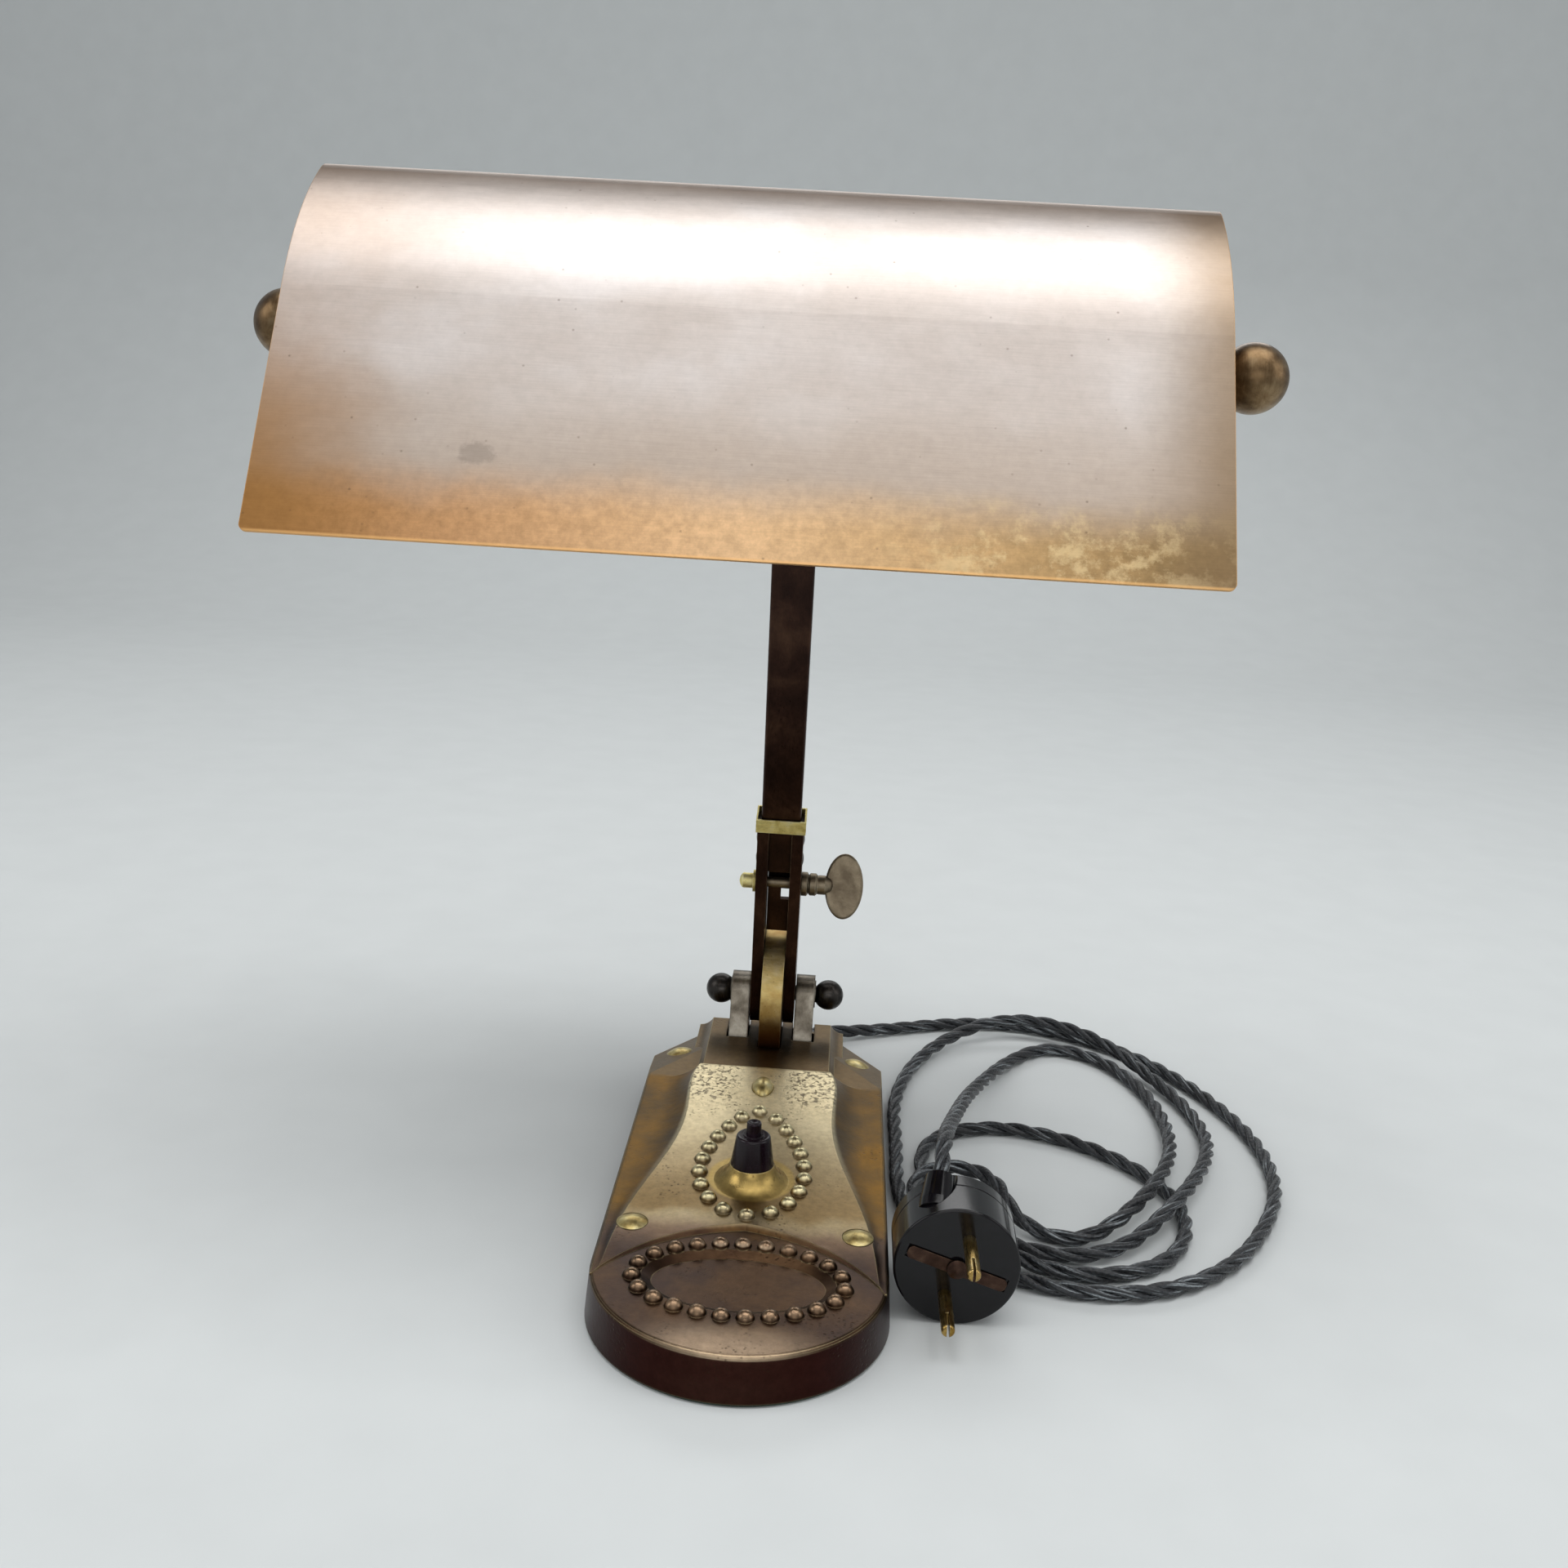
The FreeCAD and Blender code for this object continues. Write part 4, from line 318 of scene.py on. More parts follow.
def framed(line):
    # each point of a line, two directions across the line there, and the length up to there
    side = Vector((0, 0, 1))
    travelled = 0.0
    for number, point in enumerate(line):
        after = line[min(number + 1, len(line) - 1)]
        before = line[max(number - 1, 0)]
        along = (after - before).normalized()
        side = (side - along * side.dot(along)).normalized()
        yield point, side, along.cross(side), travelled
        travelled += (after - point).length


def aboutLine(side, across, angle):
    return side * math.cos(angle) + across * math.sin(angle)


def strandLine(line, phase):
    # the middle of one strand, which winds round the cord's line
    made = []
    for point, side, across, travelled in framed(line):
        angle = phase + 2 * math.pi * travelled / cordShape["lay"]
        made.append(point + aboutLine(side, across, angle) * cordShape["orbit"])
    return made


def addCord():
    line, length = evenly(routeLine(), cordShape["step"])
    sides = cordShape["sides"]
    radius = cordShape["strand"] / 2
    vertices = []
    faces = []
    around = []
    for strand in range(cordShape["strands"]):
        centres = strandLine(line, 2 * math.pi * strand / cordShape["strands"])
        base = len(vertices)
        for centre, side, across, travelled in framed(centres):
            for corner in range(sides):
                angle = 2 * math.pi * corner / sides
                vertices.append(centre + aboutLine(side, across, angle) * radius)
                around.append((travelled, angle))
        for a in range(base, base + (len(centres) - 1) * sides, sides):
            for corner in range(sides):
                following = (corner + 1) % sides
                faces.append((a + corner, a + following,
                              a + sides + following, a + sides + corner))
        last = base + (len(centres) - 1) * sides
        faces.append(tuple(base + corner for corner in reversed(range(sides))))
        faces.append(tuple(last + corner for corner in range(sides)))
    mesh = bpy.data.meshes.new("cordTwist")
    mesh.from_pydata(vertices, [], faces)
    layer = mesh.uv_layers.new(name="weave")
    for polygon in mesh.polygons:
        for loop in polygon.loop_indices:
            travelled, angle = around[mesh.loops[loop].vertex_index]
            if len(polygon.vertices) == 4 and angle == 0 and any(
                    around[vertex][1] > math.pi for vertex in polygon.vertices):
                angle = 2 * math.pi
            layer.data[loop].uv = (travelled / cordShape["weaveUnit"],
                                    angle / (2 * math.pi))
    item = bpy.data.objects.new("cordTwist", mesh)
    scene.collection.objects.link(item)
    for polygon in mesh.polygons:
        polygon.use_smooth = True
    return item, line, length


cordPiece, cordLine, cordLength = addCord()
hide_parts("cord")
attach(cordPiece, "base")
print("cord laid, %.3f m long" % cordLength)

# Finishes. Sizes of patterns are in millimetres, and one unit of Object coordinates is a metre.


cornerReach = 0.0022  # how far the painted corner shade reaches out of a corner, metres


def agedMetal(values):
    # an old metal: cloudy tarnish, a worked grain, painted shade in the corners and bright worn
    # arrises
    material, add, shader, place = newMaterial(values["name"])
    clouds = add("TexNoise", {"Scale": 1000 / values["patch"], "Detail": 5, "Roughness": 0.6,
                              "Distortion": 0.3, "Vector": place})
    stretch = add("Mapping", {"Scale": [1000 / size for size in values["grain"]],
                              "Vector": place})
    grain = add("TexNoise", {"Scale": 1, "Detail": 4, "Roughness": 0.7, "Vector": stretch})
    pits = add("TexVoronoi", {"Scale": 1000 / values["pit"], "Randomness": 1, "Vector": place})
    corners = add("AmbientOcclusion", {"samples": 6, "Distance": cornerReach}).outputs["AO"]
    rounded, bend = roundedArris(add, values["edge"] / 1000, 4)
    # what is measured, the two values between which it counts, and what these give
    ranges = {
        "streaks": (grain, 0.3, 0.7, 1 - values["streak"], 1),
        "specks": (pits, 0.05, 0.16, values["speck"], 0),
        # painted shade: the colour darkens into corners that the AO node finds
        "dirt": (corners, 0.45, 0.9, values["dirt"], 0),
        "rubbed": (bend, 0.995, 0.9, 0, values["rubbed"]),
        "patchy": (clouds, 0.38, 0.56, 0, 1),
        "rough": (grain, 0.3, 0.7, *values["roughness"]),
    }
    share = {}
    for name, (measure, start, end, least, most) in ranges.items():
        share[name] = add("MapRange", {"From Min": start, "From Max": end, "To Min": least,
                                       "To Max": most, "Value": measure})
    colour = add("ValToRGB", {"stops": [(0.34, values["tarnish"]), (0.52, values["colour"]),
                                        (0.72, values["bright"])], "Fac": clouds})
    colour = add("Mix", {"data_type": "RGBA", "blend_type": "MULTIPLY", "Factor": 1,
                         "A": colour, "B": share["streaks"]})
    # painted shade: the colour darkens towards one end of the part's height
    if "foot" in values:
        shadeTint, full, clear = values["foot"]
        height = add("SeparateXYZ", {"Vector": place}).outputs["Z"]
        shadeShare = add("MapRange", {"interpolation_type": "SMOOTHSTEP", "From Min": full,
                                   "From Max": clear, "To Min": 1, "To Max": 0,
                                   "Value": height})
        colour = add("Mix", {"data_type": "RGBA", "Factor": shadeShare, "A": colour, "B": shadeTint})
    # grime in the pits and the painted corner shade share one dark colour
    dark = add("Math", {"operation": "MAXIMUM", 0: share["specks"], 1: share["dirt"]})
    rubbed = add("Math", {"operation": "MULTIPLY", 0: share["rubbed"], 1: share["patchy"]})
    for factor, over in ((dark, "grime"), (rubbed, "arris")):
        colour = add("Mix", {"data_type": "RGBA", "Factor": factor, "A": colour,
                             "B": values[over]})
    hollow = add("Math", {"operation": "SUBTRACT", 0: grain, 1: share["specks"]})
    bump = add("Bump", {"Strength": 1, "Distance": values["depth"] / 1000, "Height": hollow,
                        "Normal": rounded})
    setNode(shader, {"Metallic": values.get("metallic", 1), "Base Color": colour,
                     "Roughness": share["rough"], "Normal": bump})
    return material


metals = [
    # nickel-grey mild steel, filed up and down: soft vertical gleams, painted shade round the top
    {"name": "filedNickelSteel", "nodes": ["left_ear", "right_ear", "pivot_washers"],
     "colour": "8a8275", "bright": "b9b2a4", "tarnish": "5c554a", "grime": "2c231b",
     "arris": "c8c1b1", "patch": 11, "grain": (0.5, 0.5, 9), "streak": 0.2, "pit": 1.6,
     "speck": 0.35, "dirt": 0.7, "edge": 0.9, "rubbed": 0.35, "roughness": (0.28, 0.42),
     "depth": 0.015, "foot": ("4d463f", 0.0455, 0.036)},
    # rolled sheet brass rubbed by the legs: golden, cloudy, painted brown shade down at its foot
    {"name": "rubbedSheetBrass", "nodes": ["friction_disc"], "colour": "d2b878",
     "bright": "ecdcae", "tarnish": "b08d50", "grime": "4a3016", "arris": "e4d7a8", "patch": 14,
     "grain": (4, 0.5, 12), "streak": 0.25, "pit": 2.2, "speck": 0.4, "dirt": 0.5, "edge": 0.5,
     "rubbed": 0.35, "roughness": (0.36, 0.5), "depth": 0.015,
     "foot": ("6e4a2a", 0.020, 0.042)},
    # bright soldered brass strap, file-cut: light yellow with rough, nicked faces
    {"name": "filedFerruleBrass", "nodes": ["ferrule", "screw_nut"], "colour": "f6e99f",
     "bright": "fbf3c0", "tarnish": "dcc97c", "grime": "5a4220", "arris": "f6eecb", "patch": 5,
     "grain": (3, 0.6, 0.5), "streak": 0.2, "pit": 1.3, "speck": 0.4, "dirt": 0.5, "edge": 0.4,
     "rubbed": 0.8, "roughness": (0.42, 0.6), "depth": 0.05},
    # steel blacked in oil: near black, soft sheen, a few paler rubs
    {"name": "oilBlackedSteel", "nodes": ["pivot_ball_left", "pivot_ball_right", "pivot_bolt"],
     "colour": "43403d", "bright": "5d5955", "tarnish": "302d2b", "grime": "1c1917",
     "arris": "8a847c", "patch": 6, "grain": (0.6, 6, 6), "streak": 0.25, "pit": 1.2,
     "speck": 0.3, "dirt": 0.6, "edge": 0.35, "rubbed": 0.6, "roughness": (0.25, 0.4),
     "depth": 0.012},
    # brass under an old red-brown lacquer: dark, with thin bright lines on the rubbed arrises
    {"name": "brownLacqueredBrass", "metallic": 0.85,
     "nodes": ["fork_leg_left", "fork_leg_right", "spacer_block", "fork_rivets", "stem",
               "stem_head"], "colour": "37231b", "bright": "523a2c", "tarnish": "261611",
     "grime": "170e0b", "arris": "a08668", "patch": 17, "grain": (0.7, 0.7, 16), "streak": 0.3,
     "pit": 1.8, "speck": 0.3, "dirt": 0.75, "edge": 0.35, "rubbed": 0.7,
     "roughness": (0.26, 0.4), "depth": 0.02},
    # turned brass gone dull: rings from the lathe and brown in the necks
    {"name": "turnedOldBrass",
     "nodes": ["knob_left", "knob_right", "cross_rod", "rod_washers", "end_collar_left",
               "end_collar_right"], "colour": "7d664a", "bright": "a08a6a", "tarnish": "59452f",
     "grime": "33241a", "arris": "bda983", "patch": 7, "grain": (0.35, 9, 9), "streak": 0.25,
     "pit": 1.5, "speck": 0.4, "dirt": 0.75, "edge": 0.4, "rubbed": 0.6,
     "roughness": (0.26, 0.42), "depth": 0.02},
    # cast and turned bronze, greyed by handling: matt bow, grooved neck
    {"name": "handledBronze", "nodes": ["thumb_screw"], "colour": "8c7f6a", "bright": "a39680",
     "tarnish": "6d6150", "grime": "362b20", "arris": "d2c6ab", "patch": 8,
     "grain": (1.2, 1.2, 1.2), "streak": 0.15, "pit": 1.4, "speck": 0.3, "dirt": 0.75,
     "edge": 0.45, "rubbed": 0.8, "roughness": (0.36, 0.52), "depth": 0.02},
    # yellow brass rivet heads, hammered and polished by wear
    {"name": "hammeredRivetBrass", "nodes": ["cover_rivets"], "colour": "d6c386",
     "bright": "ece0b2", "tarnish": "b0965a", "grime": "4a3818", "arris": "ebdfae", "patch": 4,
     "grain": (1.4, 1.4, 1.4), "streak": 0.25, "pit": 1.1, "speck": 0.5, "dirt": 0.6,
     "edge": 0.4, "rubbed": 0.6, "roughness": (0.28, 0.45), "depth": 0.05},
    # spun and pressed brass kept from the weather inside the shade: warmer and cleaner
    {"name": "pressedHolderBrass",
     "nodes": ["holder_bracket", "holder_nipple", "nipple_nut", "lamp_holder"],
     "colour": "b3954f", "bright": "cfb774", "tarnish": "8a6f38", "grime": "4a3618",
     "arris": "e0cf94", "patch": 12, "grain": (0.4, 6, 6), "streak": 0.2, "pit": 1.8,
     "speck": 0.35, "dirt": 0.6, "edge": 0.35, "rubbed": 0.6, "roughness": (0.22, 0.38),
     "depth": 0.015},
    # rolled aluminium screw cap: pale grey with fine drawn lines
    {"name": "rolledCapAluminium", "nodes": ["bulb_cap"], "colour": "b9b9b5",
     "bright": "cfcfcb", "tarnish": "9a9a96", "grime": "55534e", "arris": "e2e2de", "patch": 6,
     "grain": (0.4, 5, 5), "streak": 0.15, "pit": 1.5, "speck": 0.2, "dirt": 0.5, "edge": 0.3,
     "rubbed": 0.6, "roughness": (0.3, 0.45), "depth": 0.01},
    # drawn brass wire of the plug's pins: yellow, with lines along the pin
    {"name": "drawnPinBrass", "nodes": ["plug_pins"], "colour": "bfa162", "bright": "dcc792",
     "tarnish": "957638", "grime": "4d3919", "arris": "eadcae", "patch": 5,
     "grain": (0.35, 7, 0.35), "streak": 0.25, "pit": 1.2, "speck": 0.35, "dirt": 0.6,
     "edge": 0.3, "rubbed": 0.7, "roughness": (0.22, 0.38), "depth": 0.015},
    # the plug's flat strap and its screw: brown-grey, dull from years of handling
    {"name": "dulledStrapBrass", "nodes": ["plug_earth_strap", "plug_screw"],
     "colour": "4e3b32", "bright": "655142", "tarnish": "3a2b25", "grime": "1f1714",
     "arris": "877260", "patch": 5, "grain": (7, 0.35, 0.35), "streak": 0.2, "pit": 1.2,
     "speck": 0.35, "dirt": 0.6, "edge": 0.3, "rubbed": 0.4, "roughness": (0.32, 0.48),
     "depth": 0.012},
    # plain steel plate and screws under the base: grey with rust-brown stains
    {"name": "stainedPlateSteel", "nodes": ["bottom_plate", "ear_screws"], "colour": "77736c",
     "bright": "8f8b84", "tarnish": "5b4c3d", "grime": "33281f", "arris": "b4b0a6", "patch": 16,
     "grain": (9, 0.6, 0.6), "streak": 0.2, "pit": 2.0, "speck": 0.5, "dirt": 0.6, "edge": 0.4,
     "rubbed": 0.6, "roughness": (0.32, 0.5), "depth": 0.02},
    # sand-cast iron ballast: almost black, coarse grains
    {"name": "sandCastIron", "nodes": ["base_weight"], "colour": "3b3937", "bright": "4b4845",
     "tarnish": "2b2724", "grime": "181614", "arris": "605c57", "patch": 9,
     "grain": (1.1, 1.1, 1.1), "streak": 0.3, "pit": 1.7, "speck": 0.6, "dirt": 0.6,
     "edge": 0.5, "rubbed": 0.5, "roughness": (0.55, 0.75), "depth": 0.18},
]


def dress(names, material):
    for name in names:
        wear(nodes[name], material)


for values in metals:
    dress(values["nodes"], agedMetal(values))
print("%d metals made" % len(metals))

# Brass of the base cover: sand cast and chased, with painted light and shade over its patina

coverBrass = {
    "panelRearSheen": "e6d6ae",   # raised panel: a painted sheen pales it at the rear, bronze towards the front
    "panel": "87704a",
    "seat": "715c3d",        # the block that the hinge stands on
    "cove": "7d5915",        # hollow sides, ochre
    "coveDark": "563e0c",
    "front": "58422f",       # front part: dark bronze under a painted shadow of the shade
    "frontDark": "3b2a21",
    "rimHighlight": "c6ae92",         # painted highlight along the front's edge and the ridge
    "wall": "301411",        # outer wall, dark and red
    "boss": "b59a5c",
    "bead": "efe3b4",        # tops of the rear beads
    # front beads, dulled by the same painted shadow
    "beadFront": "917860",
    "arris": "d8c898",
    "grime": "33251a",
    "panelTop": (0.021, 0.059, 0.0419),  # height at a place along Y, and fall per metre
    "bossAt": (0, -0.0200, 0.0177),
    "arrisRadius": 0.0006,
    "cloud": 22,             # size of the tarnish clouds, mm
    "grit": 0.45,            # grain of the sand it was cast in, mm
    "blot": 2.4,             # size of the small blots in the patina, mm
    "patch": 17,             # size of the patches in which pits gather, mm
    "chase": 1.7,            # spacing of the punch marks by the rivet, mm
    "pit": 1.5,              # width of the casting's pits, mm
    "depth": 0.09,           # depth of a pit, mm
    "gritShare": 0.12,       # height of the grit and of the blots, as shares of a pit's depth
    "blotShare": 0.7,
    "cornerReach": 0.0035,   # how far the painted corner shade reaches out of a corner, metres
    "wander": 0.02,          # of the line behind the front part, metres
    "beadGloss": 0.1,        # how much smoother the beads are
    # Zones: what measures each, where it begins, where it is full, and what these two give.
    # Places are in metres, patterns and shares run from 0 to 1.
    "soft": {
        # painted sheen: the panel pales towards the rear
        "rearward": ("y", -0.040, 0.050, 0, 1),
        "aside": ("rise", -0.0003, -0.0013, 0, 1),       # down the hollow sides
        "forward": ("drift", -0.028, -0.044, 0, 1),      # the front part, darker under a painted shadow of the shade
        "atMiddle": ("across", 0.030, 0.004, 0, 1),
        "atEdge": ("y", -0.094, -0.112, 0, 0.75),
        "atRidge": ("y", -0.0548, -0.0562, 0, 1),
        "onBead": ("rise", 0.0006, 0.0019, 0, 0.9),
        "onFrontBead": ("z", 0.0157, 0.0172, 0, 1),
        "upright": ("tilt", 0.35, 0.05, 0, 1),
        "lowDown": ("z", 0.0150, 0.0132, 0, 1),
        "offMiddle": ("across", 0.005, 0.012, 0, 1),
        "behind": ("y", 0.022, 0.038, 0, 1),
    },
    "sharp": {
        "atSeat": ("y", 0.0575, 0.0605, 0, 1),
        "high": ("z", 0.0157, 0.0163, 0, 1),
        "beadless": ("y", -0.0606, -0.0600, 0, 1),
        "atBoss": ("far", 0.0148, 0.0135, 0, 1),
        "tone": ("cloud", 0.35, 0.65, 0.84, 1.04),
        "fleck": ("blot", 0.35, 0.65, 0.8, 1.06),
        # painted shade in the corners that the AO node finds
        "dirt": ("corners", 0.4, 0.88, 0.9, 0),
        "exposed": ("corners", 0.7, 0.95, 0, 1),
        "specks": ("pits", 0.1, 0.34, 0.6, 0),
        "pitted": ("patch", 0.52, 0.66, 0, 1),
        "punches": ("chase", 0.5, 0.36, 0, 0.75),
        "rubbed": ("bend", 0.995, 0.9, 0, 0.6),
        "rough": ("cloud", 0.3, 0.7, 0.3, 0.44),
    },
    # zones made of two others, in this order
    "joined": [
        ("atRidge", "MULTIPLY", "atRidge", "high"),
        ("atRidge", "MULTIPLY", "atRidge", "beadless"),
        # painted highlight on the front's edge and the ridge, strongest in the middle
        ("handled", "MAXIMUM", "atEdge", "atRidge"),
        ("handled", "MULTIPLY", "handled", "atMiddle"),
        ("onFrontBead", "MULTIPLY", "onFrontBead", "forward"),
        ("onBead", "MAXIMUM", "onBead", "onFrontBead"),
        ("wall", "MULTIPLY", "upright", "lowDown"),
        ("corner", "MULTIPLY", "offMiddle", "behind"),   # the panel's two rear corners
        ("corner", "SUBTRACT", "corner", "atSeat"),
        ("corner", "SUBTRACT", "corner", "aside"),
        ("punches", "MULTIPLY", "punches", "corner"),
        ("specks", "MULTIPLY", "specks", "pitted"),
        ("specks", "MAXIMUM", "specks", "punches"),
        ("dark", "MAXIMUM", "specks", "dirt"),
        ("rubbed", "MULTIPLY", "rubbed", "exposed"),
    ],
}


def castCoverBrass():
    values = coverBrass
    material, add, shader, place = newMaterial("castCoverBrass")
    axes = add("SeparateXYZ", {"Vector": place})
    facing = add("NewGeometry").outputs["Normal"]
    rounded, bend = roundedArris(add, values["arrisRadius"], 6)
    measures = {
        "y": axes.outputs["Y"],
        "z": axes.outputs["Z"],
        "across": add("Math", {"operation": "ABSOLUTE", 0: axes.outputs["X"]}),
        "tilt": add("SeparateXYZ", {"Vector": facing}).outputs["Z"],
        "far": add("VectorMath", {"operation": "DISTANCE", 0: place,
                                  1: values["bossAt"]}).outputs["Value"],
        "corners": add("AmbientOcclusion", {
            "samples": 8, "Distance": values["cornerReach"]}).outputs["AO"],
        "pits": add("TexVoronoi", {"Scale": 1000 / values["pit"], "Randomness": 1,
                                   "Vector": place}),
        "bend": bend,
    }
    for name, detail, roughness, distortion in (
            ("cloud", 4, 0.55, 0), ("grit", 3, 0.6, 0), ("blot", 6, 0.7, 0), ("patch", 2, 0.5, 0),
            ("chase", 2, 0.5, 0.6)):
        measures[name] = add("TexNoise", {"Scale": 1000 / values[name], "Detail": detail,
                                          "Roughness": roughness, "Distortion": distortion,
                                          "Vector": place})
    # height above the raised panel's sloping top
    top, rear, fall = values["panelTop"]
    rise = add("Math", {"operation": "MULTIPLY_ADD", 0: axes.outputs["Y"], 1: -fall,
                        2: rear * fall - top})
    measures["rise"] = add("Math", {"operation": "ADD", 0: rise, 1: axes.outputs["Z"]})
    # the line behind the front part wanders with the clouds
    measures["drift"] = add("Math", {"operation": "MULTIPLY_ADD", 0: measures["cloud"],
                                     1: values["wander"], 2: axes.outputs["Y"]})
    zone = addZones(add, values, measures)

    # the raised panel, with a painted sheen towards the rear
    colour = add("Mix", {"data_type": "RGBA", "Factor": zone["rearward"], "A": values["panel"],
                         "B": values["panelRearSheen"]})
    cove = add("ValToRGB", {"stops": [(0.36, values["coveDark"]), (0.62, values["cove"])],
                            "Fac": measures["cloud"]})
    # the front part's colour carries a painted shadow of the shade
    front = add("ValToRGB", {"stops": [(0.38, values["frontDark"]), (0.62, values["front"])],
                             "Fac": measures["cloud"]})
    # beads in the front part lie in the painted shadow
    beads = add("Mix", {"data_type": "RGBA", "Factor": zone["forward"], "A": values["bead"],
                        "B": values["beadFront"]})
    # the edge and ridge of the front part take a painted highlight
    for name, over in (("aside", cove), ("atSeat", values["seat"]), ("forward", front),
                       ("handled", values["rimHighlight"]), ("onBead", beads), ("atBoss", values["boss"]),
                       ("wall", values["wall"])):
        colour = add("Mix", {"data_type": "RGBA", "Factor": zone[name], "A": colour, "B": over})
    tone = add("Math", {"operation": "MULTIPLY", 0: zone["tone"], 1: zone["fleck"]})
    colour = add("Mix", {"data_type": "RGBA", "blend_type": "MULTIPLY", "Factor": 1,
                         "A": colour, "B": tone})
    # grime in the pits, painted shade in the crevices, and bright rubbed arrises
    for name, over in (("dark", "grime"), ("rubbed", "arris")):
        colour = add("Mix", {"data_type": "RGBA", "Factor": zone[name], "A": colour,
                             "B": values[over]})
    rough = add("Math", {"operation": "MULTIPLY_ADD", 0: zone["onBead"],
                         1: -values["beadGloss"], 2: zone["rough"]})
    sunk = add("Math", {"operation": "MULTIPLY", 0: zone["specks"], 1: -1})
    relief = add("Math", {"operation": "MULTIPLY_ADD", 0: measures["grit"],
                          1: values["gritShare"], 2: sunk})
    relief = add("Math", {"operation": "MULTIPLY_ADD", 0: measures["blot"],
                          1: values["blotShare"], 2: relief})
    bump = add("Bump", {"Strength": 1, "Distance": values["depth"] / 1000, "Height": relief,
                        "Normal": rounded})
    setNode(shader, {"Metallic": 1, "Base Color": colour, "Roughness": rough, "Normal": bump})
    return material


dress(["base_cover"], castCoverBrass())

# Brass of the shade: silvered once, brushed along its length, worn to warm gold along its edges

shadeBrass = {
    "silverDark": "bab0a9",   # what is left of the plating, a pinkish grey
    "silver": "c1b8b2",
    "silverLow": "b09f8f",    # warmer towards the band
    "silverLight": "c9c2be",
    # bare brass of the lower band, from the left end to the right one; its fall from the middle
    # towards the ends is partly painted light falloff
    "goldBand": [(0, "a67643"), (0.22, "c1956a"), (0.5, "dcb68b"), (0.78, "ba996c"),
                 (1, "856e4a")],
    "straw": "e2c99a",        # pale patches in the band at the right
    "ochre": "a07545",        # up the left end
    "olive": "856e51",        # up the right end
    "crest": "755f4a",        # behind the crest
    "smudge": "95897e",       # one darker spot on the skirt, left of the middle
    "smudgeAt": (-0.0880, -0.0353, 0.2434),
    "flatten": (0.7, 1, 1),   # how the spot and the stains are drawn out along the shade
    "speck": "54463a",
    "edge": "f0bc7c",         # where the sheet's edges are rubbed, with a painted highlight along its lower edges
    "ends": (-0.1516, 0.1244),  # of the sheet, along X
    "arrisRadius": 0.0004,
    "grain": (12, 0.3),       # length and width of a brush mark, mm; the real ones are finer
    "cloud": 40,              # size of the stains, mm
    "blot": 3.2,              # size of the blots in the bare brass, mm
    "tear": 11,               # size of the pale patches, mm
    "fleck": 2.6,             # spacing of the small dark spots, mm
    "depth": 0.006,           # depth of a brush mark, mm
    # how far the borders of the band, the ends, the rear and the dark spot wander, metres
    "wander": {"drift": 0.014, "sway": 0.03, "back": 0.014, "spread": 0.004},
    # Zones: what measures each, where it begins, where it is full, and what these two give.
    # Places are in metres, patterns and shares run from 0 to 1.
    "soft": {
        "downward": ("z", 0.276, 0.238, 0, 0.8),
        "band": ("drift", 0.2515, 0.2335, 0, 1),
        "rightHalf": ("along", 0.62, 0.76, 0, 1),
        "left": ("sway", -0.0846, -0.1406, 0, 0.85),
        "lower": ("z", 0.292, 0.24, 0.3, 1),
        "right": ("sway", 0.1094, 0.1414, 0, 0.8),
        "behind": ("back", 0.022, 0.038, 0, 0.85),       # rear part of the crest
    },
    "sharp": {
        "mottle": ("blot", 0.35, 0.65, 0.86, 1.06),
        "stipple": ("blot", 0.35, 0.65, 0.95, 1.03),
        "streaks": ("grain", 0.3, 0.7, 0.9, 1),
        "rough": ("grain", 0.3, 0.7, 0.34, 0.42),
        "patches": ("tear", 0.5, 0.6, 0, 0.55),
        "smudge": ("spread", 0.0060, 0.0048, 0, 0.6),
        "specks": ("fleck", 0.05, 0.2, 0.5, 0),
        "rare": ("lot", 0.9, 0.97, 0, 1),
        "brink": ("z", 0.2201, 0.2195, 0, 0.6),          # painted highlight along the lower edges of the sheet
        "rubbed": ("bend", 0.995, 0.9, 0, 0.8),
    },
    # zones made of two others, in this order
    "joined": [
        ("patches", "MULTIPLY", "patches", "rightHalf"),
        ("patches", "MULTIPLY", "patches", "band"),
        ("left", "MULTIPLY", "left", "lower"),
        ("specks", "MULTIPLY", "specks", "rare"),
        ("rubbed", "MAXIMUM", "rubbed", "brink"),
    ],
}


